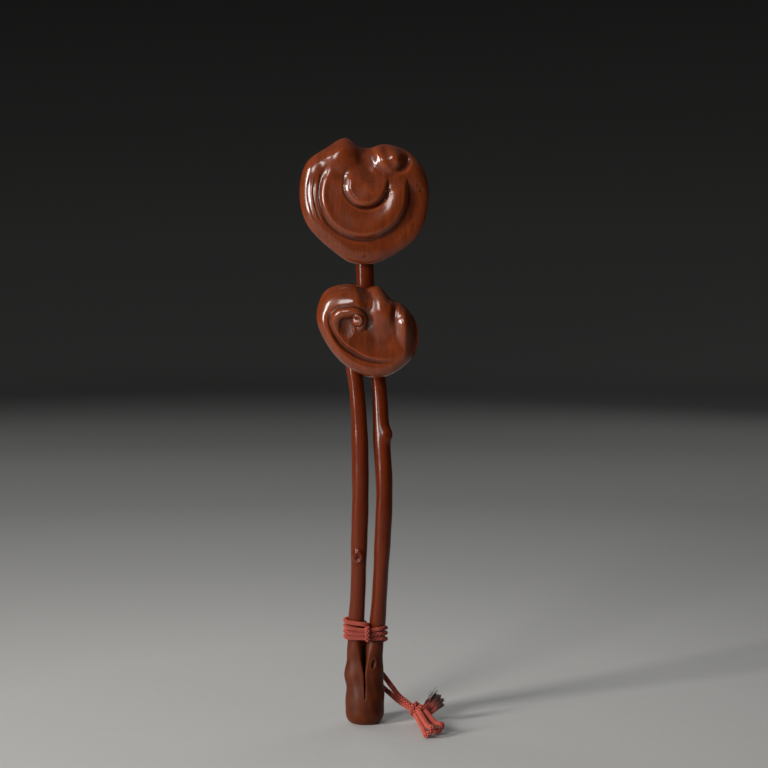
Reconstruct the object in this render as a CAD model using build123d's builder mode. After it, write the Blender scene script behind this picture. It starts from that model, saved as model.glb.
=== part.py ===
from build123d import *
import os
from math import cos, radians, sin, tan

os.makedirs("parts", exist_ok=True)

# Driving sizes in millimetres. The frame stands at the middle of the foot's flat face:
# X points right, Y points away from the viewer, Z points up.

# Foot: one root that divides into two prongs
foot_width = 25.0
foot_depth = 24.5
foot_body_height = 18.0
foot_edge_radius = 3.6
prong_root_width = 14.6
prong_root_depth = 21.0
prong_waist_height = 24.0
prong_waist_width = 11.6
prong_waist_depth = 16.6
prong_knuckle_height = 35.0
prong_knuckle_width = 12.2
prong_knuckle_depth = 14.6
slit_at_waist = 0.8
slit_at_knuckle = 1.4
splice_height = 61.0
splice_tenon_diameter = 5.6
splice_tenon_length = 12.0
short_prong_x = -6.2
long_prong_x = 7.9
eye_length = 6.4
eye_width = 2.6
eye_depth = 1.2
eye_height = 40.0

# Stems
short_stem_diameter = 10.4
long_stem_diameter = 10.4
neck_diameter = 11.2
scar_radius = 3.0
scar_height_above_splice = 47.0
knot_radius = 4.6
knot_height_above_splice = 125.0

# Caps: half sizes of the outlines, and heights of the reliefs above the flat back plane
upper_cap_half_width = 41.6
upper_cap_half_height = 40.8
upper_cap_rim = 9.5
upper_cap_back_swell = 6.0
upper_cap_centre_x = -0.2
upper_cap_centre_height = 339.0
upper_cap_lean = 5.0
lower_cap_half_width = 32.8
lower_cap_half_height = 30.1
lower_cap_rim = 8.5
lower_cap_back_swell = 4.5
lower_cap_centre_x = 2.0
lower_cap_centre_height = 256.5
lower_cap_lean = 3.0
lower_cap_back_y = -3.5
dish_radius = 28.5
dish_depth = 2.2
dish_wall = 4.0
crescent_radius = 21.5
crescent_half_width = 7.0
crescent_rise = 4.2
tongue_radius = 14.2
tongue_lift = 4.0
roll_half_length = 8.8
roll_half_width = 6.0
fold_half_length = 10.0
fold_half_width = 9.0
lower_cap_crown = 3.6
hollow_radius = 25.0
hollow_depth = 1.6
curl_radius = 8.6
curl_half_width = 2.7
curl_ball_radius = 2.9
pillow_half_length = 12.5
pillow_half_width = 7.0
lobe_half_length = 12.5
lobe_half_width = 8.0
ear_half_length = 9.0
ear_half_width = 5.2

# Sockets on the backs of the caps
boss_diameter = 12.8
upper_boss_length = 30.0
lower_boss_length = 19.0
boss_behind_back = 7.1
upper_boss_above_edge = 2.8
lower_boss_above_edge = 6.6
lower_boss_left_of_centre = 9.0
cap_tenon_diameter = 6.2
cap_tenon_length = 14.0
peg_diameter = 2.6
peg_stand_out = 0.4

# Fits
tenon_clearance = 0.05
shoulder_gap = 0.05

# Cord
cord_diameter = 3.0
cord_clearance = 0.3
row_pitch = 3.5
oval_turns = 3
first_row_above_splice = 1.3
ring_above_first_row = 4.8
wrap_corner_radius = 7.0
lead_corner_radius = 4.5
cinch_x = 1.9
cinch_corner_radius = 3.0
binding_knot_width = 10.0
binding_knot_depth = 7.6
binding_knot_height = 6.6
binding_knot_x = 2.0
binding_knot_drop = 12.3
tail_spacing = 3.6
tail_behind_knot = 0.7
tassel_x = 33.6
tassel_y = -0.4
tassel_height = 9.2
tassel_knot_radius = 4.4
loop_spread = 3.45
loop_root_spread = 1.7
frayed_strand_count = 6
frayed_strand_length = 15.0
frayed_strand_diameter = 2.4
frayed_splay = 13.0

# Values that follow from the sizes above
cord_radius = cord_diameter / 2
short_stem_radius = short_stem_diameter / 2
long_stem_radius = long_stem_diameter / 2
upper_boss_below_centre = upper_cap_half_height - upper_boss_above_edge
lower_boss_below_centre = lower_cap_half_height - lower_boss_above_edge
short_splice = Vector(short_prong_x, 0, splice_height)
long_splice = Vector(long_prong_x, 0, splice_height)


def disc(plane, radius):
    """Round section on a plane."""
    with BuildSketch(plane) as section:
        Circle(radius)
    return section.sketch


def oval(plane, half_width, half_depth):
    """Oval section on a plane."""
    with BuildSketch(plane) as section:
        Ellipse(half_width, half_depth)
    return section.sketch


def cap_section(outline, half_width, half_height, share, height):
    """Cap outline drawn smaller by a share, at a height above the back plane."""
    points = [(u * half_width * share, v * half_height * share) for u, v in outline]
    with BuildSketch(Plane.XY.offset(height)) as section:
        with BuildLine():
            Spline(*points, periodic=True)
        make_face()
    return section.sketch


def ridge_sections(centre, radius, height, profile):
    """Oval sections standing along an arc: angle, half width and rise of each."""
    sections = []
    for angle, half_width, rise in profile:
        out = Vector(cos(radians(angle)), sin(radians(angle)), 0)
        place = Vector(*centre, height) + out * radius
        along = Vector(-out.Y, out.X, 0)
        sections.append(oval(Plane(place, x_dir=out, z_dir=along), half_width, rise))
    return sections


def bean_half(centre, heading, half_length, half_width):
    """Half an oval beside its long axis, to be turned into a bean."""
    along = Vector(*heading).normalized()
    with BuildSketch(Plane(centre, x_dir=along, z_dir=along.cross(Vector(0, 0, 1)))) as half:
        Ellipse(half_length, half_width)
        with Locations((0, -half_width)):
            Rectangle(2 * half_length, 2 * half_width, mode=Mode.SUBTRACT)
    return half.sketch


def dish_half(plane, radius, depth, wall):
    """Half the outline of a dished disc with a rolled edge, beside the plane's normal."""
    with BuildSketch(Plane(plane.origin, x_dir=plane.x_dir, z_dir=-plane.y_dir)) as half:
        with BuildLine():
            Spline(
                (0, 0),
                (0.45 * radius, 0.25 * depth),
                (0.8 * radius, depth),
                (0.94 * radius, 0.75 * depth),
                (radius, -0.5 * depth),
                tangents=[(1, 0), (0, -1)],
            )
            Polyline((radius, -0.5 * depth), (radius, -wall), (0, -wall), (0, 0))
        make_face()
    return half.sketch


def stem_sections(base, top, radius, bows):
    """Round sections from base to top: share of the way, bow right, bow back, extra radius."""
    sections = [disc(Plane(base), radius)]
    for share, right, back, extra in bows:
        middle = base + (top.origin - base) * share + Vector(right, back, 0)
        sections.append(disc(Plane(middle), radius + extra))
    return sections


def on_stem(base, top, share, right, back):
    """Point beside the straight line from base to top."""
    return base + (top.origin - base) * share + Vector(right, back, 0)


def soft_radii(points):
    """Largest soft corner radius at each inner point of a cord's route."""
    radii = []
    for before, here, after in zip(points, points[1:], points[2:]):
        run_in = Vector(*here) - Vector(*before)
        run_out = Vector(*after) - Vector(*here)
        half_turn = radians(run_in.get_angle(run_out)) / 2
        radii.append(0.45 * min(run_in.length, run_out.length) / tan(half_turn))
    return radii


def least_gap(line, diameter):
    """Least space between a tube and itself, from points half a millimetre apart."""
    count = int(line.length / 0.5)
    points = [tuple(line @ (i / count)) for i in range(count + 1)]
    skip = int(3 * diameter / 0.5)
    least = 1e9
    for i in range(count + 1):
        ax, ay, az = points[i]
        for bx, by, bz in points[i + skip:]:
            least = min(least, (ax - bx) ** 2 + (ay - by) ** 2 + (az - bz) ** 2)
    return least ** 0.5 - diameter


def report_cord(name, solid, line, radii=()):
    """Print a cord's length and how well its volume matches its section."""
    expected = 3.14159 * cord_radius ** 2 * line.length
    print(name, "length", round(line.length, 1), "volume share", round(solid.volume / expected, 3))
    print(name, "corner radii", [round(radius, 1) for radius in radii])


# Places of the caps: each plane lies on the back of the cap's rim and faces the viewer.
# The long stem passes behind the lower cap, so the upper cap sits by that stem.
long_stem_back_y = (
    lower_cap_back_y + lower_cap_back_swell + long_stem_radius + 2.0
)
lower_face = Plane(
    origin=(lower_cap_centre_x, lower_cap_back_y, lower_cap_centre_height),
    x_dir=(1, 0, 0),
    z_dir=(0, -cos(radians(lower_cap_lean)), sin(radians(lower_cap_lean))),
)
upper_tilt = radians(upper_cap_lean)
upper_mouth = Vector(
    upper_cap_centre_x,
    long_stem_back_y + 0.8,
    upper_cap_centre_height - upper_boss_below_centre * cos(upper_tilt),
)
upper_up = Vector(0, sin(upper_tilt), cos(upper_tilt))
upper_out = Vector(0, -cos(upper_tilt), sin(upper_tilt))
upper_face = Plane(
    origin=upper_mouth + upper_up * upper_boss_below_centre + upper_out * boss_behind_back,
    x_dir=(1, 0, 0),
    z_dir=upper_out,
)

# Planes on which the stems' shoulders meet the caps' sockets
upper_socket = Plane(
    origin=upper_face.from_local_coords((0, -upper_boss_below_centre, -boss_behind_back)),
    x_dir=(1, 0, 0),
    z_dir=upper_face.y_dir,
)
lower_socket = Plane(
    origin=lower_face.from_local_coords(
        (-lower_boss_left_of_centre, -lower_boss_below_centre, -boss_behind_back)
    ),
    x_dir=(1, 0, 0),
    z_dir=lower_face.y_dir,
)

# Foot: an oval stump with a rounded lower edge, and two prongs that leave a narrow slit
root_x = foot_width / 2 - prong_root_width / 2 - 0.2
waist_x = slit_at_waist / 2 + prong_waist_width / 2
knuckle_x = slit_at_knuckle / 2 + prong_knuckle_width / 2
with BuildPart() as root_foot:
    with BuildSketch():
        Ellipse(foot_width / 2, foot_depth / 2)
    extrude(amount=foot_body_height)
    fillet(root_foot.edges().sort_by(Axis.Z)[0], radius=foot_edge_radius)
    fillet(root_foot.edges().sort_by(Axis.Z)[-1], radius=foot_edge_radius)
    for side, top_x, top_radius in (
        (-1, short_prong_x, short_stem_radius),
        (1, long_prong_x, long_stem_radius),
    ):
        loft(sections=[
            oval(Plane((side * root_x, 0, foot_edge_radius)), prong_root_width / 2, prong_root_depth / 2),
            oval(
                Plane((side * root_x, 0, foot_body_height - 3)),
                prong_root_width / 2,
                prong_root_depth / 2,
            ),
            oval(
                Plane((side * waist_x, 0, prong_waist_height)),
                prong_waist_width / 2,
                prong_waist_depth / 2,
            ),
            oval(
                Plane((side * knuckle_x, 0, prong_knuckle_height)),
                prong_knuckle_width / 2,
                prong_knuckle_depth / 2,
            ),
            oval(Plane((side * knuckle_x, 0, splice_height - 14)), top_radius + 0.2, top_radius + 0.8),
            disc(Plane((top_x, 0, splice_height)), top_radius),
        ])
    with Locations((short_prong_x, 0, splice_height), (long_prong_x, 0, splice_height)):
        Cylinder(
            splice_tenon_diameter / 2 + tenon_clearance,
            splice_tenon_length + 0.5,
            align=(Align.CENTER, Align.CENTER, Align.MAX),
            mode=Mode.SUBTRACT,
        )
    # Oval eye carved in the long prong
    eye_plane = Plane(
        origin=(knuckle_x, -prong_knuckle_depth / 2 + 0.2 + eye_depth, eye_height),
        x_dir=(1, 0, 0),
        z_dir=(0, -1, 0),
    )
    extrude(oval(eye_plane, eye_width / 2, eye_length / 2), amount=6, mode=Mode.SUBTRACT)
root_foot.part.label = "root_foot"
export_step(root_foot.part, "parts/root_foot.step")

# Short stem: from the left prong to the lower cap
short_bows = [
    (0.13, 1.8, -1.4, 0.0),
    (0.35, 3.1, -2.5, 0.1),
    (0.56, 3.9, -3.2, 0.2),
    (0.77, 3.5, -2.8, 0.1),
    (0.93, 1.6, -1.2, 0.0),
]
scar_share = scar_height_above_splice / (lower_socket.origin.Z - splice_height)
with BuildPart() as short_stem:
    loft(sections=stem_sections(short_splice, lower_socket, short_stem_radius, short_bows) + [
        disc(lower_socket.offset(-shoulder_gap), short_stem_radius)
    ])
    with Locations(Location(short_splice)):
        Cylinder(
            splice_tenon_diameter / 2,
            splice_tenon_length,
            align=(Align.CENTER, Align.CENTER, Align.MAX),
        )
    with Locations(lower_socket.offset(-shoulder_gap).location):
        Cylinder(
            cap_tenon_diameter / 2,
            cap_tenon_length,
            align=(Align.CENTER, Align.CENTER, Align.MIN),
        )
    # Scar of a cut branch on the front
    scar_middle = on_stem(short_splice, lower_socket, scar_share, 2.4, -2.1)
    with Locations(scar_middle + Vector(-1.6, -short_stem_radius + 1.6, 0)):
        Sphere(scar_radius)
    with Locations(scar_middle + Vector(-1.9, -short_stem_radius - 1.6, 0)):
        Sphere(scar_radius * 0.4, mode=Mode.SUBTRACT)
    with Locations(lower_socket.offset(cap_tenon_length / 2).location):
        Cylinder(
            peg_diameter / 2 + tenon_clearance,
            boss_diameter * 2,
            rotation=(90, 0, 0),
            mode=Mode.SUBTRACT,
        )
short_stem.part.label = "short_stem"
export_step(short_stem.part, "parts/short_stem.step")

# Long stem: from the right prong, behind the lower cap, to the upper cap
long_bows = [
    (0.10, 2.6, -1.8, 0.0),
    (0.24, 5.7, -3.6, 0.1),
    (0.40, 8.0, -4.6, 0.2),
    (0.52, 7.4, -3.2, 0.2),
    (0.66, 6.7, 0.6, 0.0),
    (0.79, 3.7, 1.8, 0.0),
    (0.92, 0.3, 0.6, neck_diameter / 2 - long_stem_radius),
]
knot_share = knot_height_above_splice / (upper_socket.origin.Z - splice_height)
with BuildPart() as long_stem:
    loft(sections=stem_sections(long_splice, upper_socket, long_stem_radius, long_bows) + [
        disc(upper_socket.offset(-shoulder_gap), neck_diameter / 2)
    ])
    with Locations(Location(long_splice)):
        Cylinder(
            splice_tenon_diameter / 2,
            splice_tenon_length,
            align=(Align.CENTER, Align.CENTER, Align.MAX),
        )
    with Locations(upper_socket.offset(-shoulder_gap).location):
        Cylinder(
            cap_tenon_diameter / 2,
            cap_tenon_length,
            align=(Align.CENTER, Align.CENTER, Align.MIN),
        )
    # Knot on the right side
    with Locations(on_stem(long_splice, upper_socket, knot_share, 7.4 + 2.8, -3.2 - 1.6)):
        Sphere(knot_radius)
    with Locations(upper_socket.offset(cap_tenon_length / 2).location):
        Cylinder(
            peg_diameter / 2 + tenon_clearance,
            boss_diameter * 2,
            rotation=(90, 0, 0),
            mode=Mode.SUBTRACT,
        )
long_stem.part.label = "long_stem"
export_step(long_stem.part, "parts/long_stem.step")

# Upper cap, modelled lying on its back: X right, Y up the face, Z out of the face
upper_outline = [
    (-0.29, 1.00), (0.01, 0.84), (0.33, 0.90), (0.67, 0.79), (0.92, 0.50), (1.00, 0.04),
    (0.83, -0.55), (0.33, -0.92), (0.06, -1.00), (-0.21, -0.97), (-0.43, -0.83),
    (-0.90, -0.34), (-1.00, 0.15), (-0.89, 0.61), (-0.59, 0.84),
]
with BuildPart() as upper_cap:
    upper_size = (upper_outline, upper_cap_half_width, upper_cap_half_height)
    loft(sections=[
        cap_section(*upper_size, 0.50, -upper_cap_back_swell),
        cap_section(*upper_size, 0.85, -0.42 * upper_cap_back_swell),
        cap_section(*upper_size, 1.00, 0.32 * upper_cap_rim),
        cap_section(*upper_size, 0.98, 0.74 * upper_cap_rim),
        cap_section(*upper_size, 0.88, upper_cap_rim),
    ])
    # Dished disc that stands proud at the lower right and sinks into the face at the upper left
    dish_plane = Plane((0, 4, upper_cap_rim + 0.6), x_dir=(1, 0, 0.05), z_dir=(-0.05, 0.09, 1))
    revolve(
        dish_half(dish_plane, dish_radius, dish_depth, dish_wall),
        axis=Axis(dish_plane.origin, dish_plane.z_dir),
    )
    # Crescent that swells towards its right end
    loft(sections=ridge_sections((0, 4), crescent_radius, upper_cap_rim + 1.6, [
        (262, 0.2 * crescent_half_width, 0.2 * crescent_rise),
        (285, 0.7 * crescent_half_width, 0.6 * crescent_rise),
        (315, crescent_half_width, 0.95 * crescent_rise),
        (345, crescent_half_width, crescent_rise),
        (368, 0.7 * crescent_half_width, 0.7 * crescent_rise),
        (381, 0.2 * crescent_half_width, 0.2 * crescent_rise),
    ]))
    # Tongue: a smaller dished disc whose lower lip stands over the first
    tongue_plane = Plane((1.5, 9, upper_cap_rim + tongue_lift), x_dir=(1, 0, 0), z_dir=(0, 0.17, 1))
    revolve(
        dish_half(tongue_plane, tongue_radius, dish_depth * 0.7, tongue_lift + 3),
        axis=Axis(tongue_plane.origin, tongue_plane.z_dir),
    )
    # Fold at the left of the notch and rolled end at its right
    fold_centre = (-14.6, 27.0, upper_cap_rim - 5.6)
    revolve(
        bean_half(fold_centre, (0.35, 1, 0), fold_half_length, fold_half_width),
        axis=Axis(fold_centre, (0.35, 1, 0)),
    )
    roll_centre = (18.5, 27.5, upper_cap_rim - 1.6)
    revolve(
        bean_half(roll_centre, (1, -0.75, 0), roll_half_length, roll_half_width),
        axis=Axis(roll_centre, (1, -0.75, 0)),
    )
    # Socket boss on the back, open downwards
    with Locations((0, -upper_boss_below_centre, -boss_behind_back)):
        Cylinder(
            boss_diameter / 2,
            upper_boss_length,
            rotation=(-90, 0, 0),
            align=(Align.CENTER, Align.CENTER, Align.MIN),
        )
    with Locations((0, upper_boss_length - upper_boss_below_centre, -boss_behind_back)):
        Sphere(boss_diameter / 2)
    with Locations((0, -upper_boss_below_centre, -boss_behind_back)):
        Cylinder(
            cap_tenon_diameter / 2 + tenon_clearance,
            cap_tenon_length + 0.5,
            rotation=(-90, 0, 0),
            align=(Align.CENTER, Align.CENTER, Align.MIN),
            mode=Mode.SUBTRACT,
        )
    peg_seat = cap_tenon_diameter / 2 + 3
    with Locations((0, cap_tenon_length / 2 - upper_boss_below_centre, peg_seat - boss_behind_back)):
        Cylinder(
            peg_diameter / 2 + tenon_clearance,
            boss_diameter * 2,
            align=(Align.CENTER, Align.CENTER, Align.MAX),
            mode=Mode.SUBTRACT,
        )
upper_cap_placed = upper_face.location * upper_cap.part
upper_cap_placed.label = "upper_cap"
export_step(upper_cap_placed, "parts/upper_cap.step")

# Lower cap, modelled the same way
lower_outline = [
    (-1.00, 0.32), (-0.81, 0.87), (-0.30, 1.00), (-0.06, 0.91), (0.20, 0.96), (0.48, 0.67),
    (0.67, 0.58), (0.96, 0.15), (0.94, -0.45), (0.46, -0.93), (0.14, -1.00), (-0.34, -0.81),
    (-0.77, -0.33),
]
with BuildPart() as lower_cap:
    lower_size = (lower_outline, lower_cap_half_width, lower_cap_half_height)
    loft(sections=[
        cap_section(*lower_size, 0.50, -lower_cap_back_swell),
        cap_section(*lower_size, 0.85, -0.42 * lower_cap_back_swell),
        cap_section(*lower_size, 1.00, 0.32 * lower_cap_rim),
        cap_section(*lower_size, 0.98, 0.74 * lower_cap_rim),
        cap_section(*lower_size, 0.88, lower_cap_rim),
    ])
    # Crowned face
    loft(sections=[
        cap_section(*lower_size, 0.87, lower_cap_rim - 0.5),
        cap_section(*lower_size, 0.70, lower_cap_rim + 0.65 * lower_cap_crown),
        cap_section(*lower_size, 0.42, lower_cap_rim + lower_cap_crown),
    ])
    # Wide shallow hollow: a step at the lower left that runs out towards the right
    hollow_plane = Plane(
        (4.5, 4.5, lower_cap_rim + 0.7 * lower_cap_crown),
        x_dir=(1, 0, 0.09),
        z_dir=(-0.09, 0.03, 1),
    )
    with BuildSketch(Plane(hollow_plane.origin, x_dir=hollow_plane.x_dir, z_dir=-hollow_plane.y_dir)):
        with BuildLine():
            Spline(
                (0, -hollow_depth * 0.5),
                (0.6 * hollow_radius, -hollow_depth * 0.4),
                (0.9 * hollow_radius, -hollow_depth * 0.2),
                (hollow_radius, 0.9 * hollow_depth),
                tangents=[(1, 0), (0, 1)],
            )
            Polyline(
                (hollow_radius, 0.9 * hollow_depth),
                (hollow_radius, 8),
                (0, 8),
                (0, -hollow_depth * 0.5),
            )
        make_face()
    revolve(axis=Axis(hollow_plane.origin, hollow_plane.z_dir), mode=Mode.SUBTRACT)
    # Pillow along the upper left edge, a lobe in the middle and an ear at the right
    for centre, heading, half_length, half_width in (
        ((-15.5, 19, lower_cap_rim - 2.5), (1, 0.3, 0), pillow_half_length, pillow_half_width),
        ((8.5, 14.5, lower_cap_rim - 1.0), (0.1, 1, 0), lobe_half_length, lobe_half_width),
        ((20.5, 7, lower_cap_rim + 0.4), (-0.35, 1, 0), ear_half_length, ear_half_width),
    ):
        revolve(
            bean_half(centre, heading, half_length, half_width),
            axis=Axis(centre, heading),
        )
    # Curl that rises from the step, turns over and ends in a ball
    loft(sections=ridge_sections((-12.6, 3.6), curl_radius, lower_cap_rim + lower_cap_crown - 1.4, [
        (225, 0.25 * curl_half_width, 0.5),
        (190, 0.8 * curl_half_width, 2.0),
        (150, curl_half_width, 2.8),
        (110, curl_half_width, 3.2),
        (70, curl_half_width, 3.2),
        (35, 0.9 * curl_half_width, 3.0),
        (5, 0.5 * curl_half_width, 1.6),
    ]))
    with Locations((-6.4, 4.6, lower_cap_rim + lower_cap_crown - 1.0)):
        Sphere(curl_ball_radius)
    # Socket boss on the back, open downwards
    with Locations((-lower_boss_left_of_centre, -lower_boss_below_centre, -boss_behind_back)):
        Cylinder(
            boss_diameter / 2,
            lower_boss_length,
            rotation=(-90, 0, 0),
            align=(Align.CENTER, Align.CENTER, Align.MIN),
        )
    with Locations((
        -lower_boss_left_of_centre,
        lower_boss_length - lower_boss_below_centre,
        -boss_behind_back,
    )):
        Sphere(boss_diameter / 2)
    with Locations((-lower_boss_left_of_centre, -lower_boss_below_centre, -boss_behind_back)):
        Cylinder(
            cap_tenon_diameter / 2 + tenon_clearance,
            cap_tenon_length + 0.5,
            rotation=(-90, 0, 0),
            align=(Align.CENTER, Align.CENTER, Align.MIN),
            mode=Mode.SUBTRACT,
        )
    with Locations((
        -lower_boss_left_of_centre,
        cap_tenon_length / 2 - lower_boss_below_centre,
        peg_seat - boss_behind_back,
    )):
        Cylinder(
            peg_diameter / 2 + tenon_clearance,
            boss_diameter * 2,
            align=(Align.CENTER, Align.CENTER, Align.MAX),
            mode=Mode.SUBTRACT,
        )
lower_cap_placed = lower_face.location * lower_cap.part
lower_cap_placed.label = "lower_cap"
export_step(lower_cap_placed, "parts/lower_cap.step")

# Pegs that lock the tenons, driven in from the back
peg_length = peg_seat + boss_diameter / 2 + peg_stand_out - 0.2
peg_inner = peg_seat - 0.2
upper_peg_plane = Plane(
    origin=upper_face.from_local_coords(
        (0, cap_tenon_length / 2 - upper_boss_below_centre, peg_inner - boss_behind_back)
    ),
    z_dir=-upper_face.z_dir,
)
with BuildPart(upper_peg_plane) as upper_cap_peg:
    Cylinder(peg_diameter / 2, peg_length, align=(Align.CENTER, Align.CENTER, Align.MIN))
    chamfer(upper_cap_peg.edges().sort_by(Axis.Y)[-1], length=0.3)
upper_cap_peg.part.label = "upper_cap_peg"
export_step(upper_cap_peg.part, "parts/upper_cap_peg.step")

lower_peg_plane = Plane(
    origin=lower_face.from_local_coords((
        -lower_boss_left_of_centre,
        cap_tenon_length / 2 - lower_boss_below_centre,
        peg_inner - boss_behind_back,
    )),
    z_dir=-lower_face.z_dir,
)
with BuildPart(lower_peg_plane) as lower_cap_peg:
    Cylinder(peg_diameter / 2, peg_length, align=(Align.CENTER, Align.CENTER, Align.MIN))
    chamfer(lower_cap_peg.edges().sort_by(Axis.Y)[-1], length=0.3)
lower_cap_peg.part.label = "lower_cap_peg"
export_step(lower_cap_peg.part, "parts/lower_cap_peg.step")

# Binding: one unbroken cord. It rises from the knot at the back, takes one ring round
# the short stem, passes between the stems and takes three turns round both.
stand_off = cord_radius + cord_clearance
wrap_left = short_prong_x - short_stem_radius - stand_off - 0.3
wrap_right = long_prong_x + long_stem_radius + stand_off + 0.5
wrap_back = max(short_stem_radius, long_stem_radius) + stand_off + 0.6
gap_x = (short_prong_x + short_stem_radius + long_prong_x - long_stem_radius) / 2 + 0.35
first_row_height = splice_height + first_row_above_splice
ring_height = first_row_height + ring_above_first_row
rows = [first_row_height - k * row_pitch for k in range(oval_turns)]
knot_y = wrap_back + cord_diameter + 0.5
binding_knot_z = first_row_height - binding_knot_drop
knot_top = binding_knot_z + binding_knot_height / 2
knot_bottom = binding_knot_z - binding_knot_height / 2
knot_right = binding_knot_x + binding_knot_width / 2
binding_route = [
    (binding_knot_x, knot_y, knot_top + cord_clearance),
    (binding_knot_x, knot_y, ring_height),
    (wrap_left, wrap_back, ring_height),
    (wrap_left, -wrap_back, ring_height),
    (gap_x, -wrap_back, ring_height),
    (gap_x, wrap_back, rows[0]),
]
for turn, row in enumerate(rows):
    last = turn == oval_turns - 1
    binding_route.append((wrap_left, wrap_back, row))
    binding_route.append((wrap_left, -wrap_back, row))
    binding_route.append((wrap_right, -wrap_back, row))
    if last:
        binding_route.append((wrap_right, wrap_back + 1.4, binding_knot_z))
    else:
        binding_route.append((wrap_right, wrap_back, rows[turn + 1]))
binding_route.append((knot_right + cord_clearance, wrap_back + 1.4, binding_knot_z))
binding_radii = [lead_corner_radius] + [wrap_corner_radius] * (len(binding_route) - 3)
binding_radii[-1] = 5.0
with BuildPart() as binding_cord:
    with BuildLine() as binding_line:
        FilletPolyline(*binding_route, radius=binding_radii)
    with BuildSketch(Plane(origin=binding_line.wire() @ 0, z_dir=binding_line.wire() % 0)):
        Circle(cord_radius)
    sweep()
binding_cord.part.label = "binding_cord"
export_step(binding_cord.part, "parts/binding_cord.step")
report_cord("binding_cord", binding_cord.part, binding_line.wire())
print("binding_cord least gap to itself", round(least_gap(binding_line.wire(), cord_diameter), 2))

# Cinch: a short bight over the three front rows, its ends tucked in above and below them
cinch_front = -wrap_back - cord_diameter - cord_clearance
cinch_tuck = -wrap_back + 1.0
cinch_top = rows[0] + cord_diameter + cord_clearance
cinch_bottom = rows[-1] - cord_diameter - cord_clearance
with BuildPart() as binding_cinch:
    with BuildLine() as cinch_line:
        FilletPolyline(
            (cinch_x, cinch_tuck, cinch_top),
            (cinch_x, cinch_front, cinch_top),
            (cinch_x, cinch_front, cinch_bottom),
            (cinch_x, cinch_tuck, cinch_bottom),
            radius=cinch_corner_radius,
        )
    with BuildSketch(Plane(origin=cinch_line.wire() @ 0, z_dir=cinch_line.wire() % 0)):
        Circle(cord_radius)
    sweep()
binding_cinch.part.label = "binding_cinch"
export_step(binding_cinch.part, "parts/binding_cinch.step")
report_cord("binding_cinch", binding_cinch.part, cinch_line.wire())

# Knot at the back, where the binding ends and the two tails begin
with BuildPart(Plane((binding_knot_x, knot_y, binding_knot_z))) as binding_knot:
    Box(binding_knot_width, binding_knot_depth, binding_knot_height)
    fillet(binding_knot.edges().filter_by(Axis.Y), radius=1.6)
    fillet(binding_knot.faces().sort_by(Axis.Y)[-1].edges(), radius=1.4)
binding_knot.part.label = "binding_knot"
export_step(binding_knot.part, "parts/binding_knot.step")

# Tails: they hang from the knot, pass behind the foot and meet at the tassel's knot
tail_top = knot_bottom - cord_clearance
hinge_y = knot_y + tail_behind_knot
upper_tail_start = Vector(binding_knot_x + tail_spacing / 2, hinge_y, tail_top)
lower_tail_start = Vector(binding_knot_x - tail_spacing / 2, hinge_y, tail_top)
tassel_middle = Vector(tassel_x, tassel_y, tassel_height)
upper_tail_end = tassel_middle + Vector(-2.6, 2.2, 2.3)
lower_tail_end = tassel_middle + Vector(-4.3, -0.6, -0.4)
upper_tail_route = [upper_tail_start, upper_tail_start + Vector(0.3, 0.2, -8.4)]
upper_tail_route += [
    upper_tail_start + (upper_tail_end - upper_tail_start) * share + Vector(0, bow, drop)
    for share, bow, drop in ((0.25, 2.1, -7.0), (0.48, 1.6, -5.2), (0.74, 0.9, -2.6))
]
upper_tail_route.append(upper_tail_end)
lower_tail_route = [lower_tail_start, lower_tail_start + Vector(-0.2, 0.8, -7)]
lower_tail_route += [
    lower_tail_start + Vector(0.8, 2.1, -14),
    lower_tail_start + Vector(4.3, 3.2, -20),
    lower_tail_start + Vector(9.6, 2.4, -24.4),
    lower_tail_start + (lower_tail_end - lower_tail_start) * 0.56 + Vector(0, 4.8, -6.6),
    lower_tail_start + (lower_tail_end - lower_tail_start) * 0.80 + Vector(0, 2.2, -2.6),
    lower_tail_end,
]
with BuildPart() as upper_tail:
    with BuildLine() as upper_tail_line:
        FilletPolyline(*upper_tail_route, radius=soft_radii(upper_tail_route))
    with BuildSketch(Plane(origin=upper_tail_line.wire() @ 0, z_dir=upper_tail_line.wire() % 0)):
        Circle(cord_radius)
    sweep()
upper_tail.part.label = "upper_tail"
export_step(upper_tail.part, "parts/upper_tail.step")
report_cord("upper_tail", upper_tail.part, upper_tail_line.wire(), soft_radii(upper_tail_route))

with BuildPart() as lower_tail:
    with BuildLine() as lower_tail_line:
        FilletPolyline(*lower_tail_route, radius=soft_radii(lower_tail_route))
    with BuildSketch(Plane(origin=lower_tail_line.wire() @ 0, z_dir=lower_tail_line.wire() % 0)):
        Circle(cord_radius)
    sweep()
lower_tail.part.label = "lower_tail"
export_step(lower_tail.part, "parts/lower_tail.step")
report_cord("lower_tail", lower_tail.part, lower_tail_line.wire(), soft_radii(lower_tail_route))

# Tassel knot: a lump of folded cord with one wrap where the tails go in
tail_heading = Vector(0.78, -0.42, -0.46)
with BuildPart(Plane(origin=tassel_middle, z_dir=tail_heading)) as tassel_knot:
    Sphere(tassel_knot_radius)
    with Locations((0, 0, -1.6)):
        Torus(tassel_knot_radius - 0.6, cord_radius)
tassel_knot.part.label = "tassel_knot"
export_step(tassel_knot.part, "parts/tassel_knot.step")

# Two loops of the same cord lying on the floor, each leaning on one edge
left_loop_root = tassel_middle + Vector(0.5, -3.4, -0.9)
left_loop_end = Vector(tassel_x + 6.4, tassel_y - 42.4, cord_radius + loop_spread * 0.83 + 0.4)
right_loop_root = tassel_middle + Vector(3.7, -2.0, -0.9)
right_loop_end = Vector(tassel_x + 12.6, tassel_y - 36.6, cord_radius + loop_spread * 0.83 + 0.4)


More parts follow.
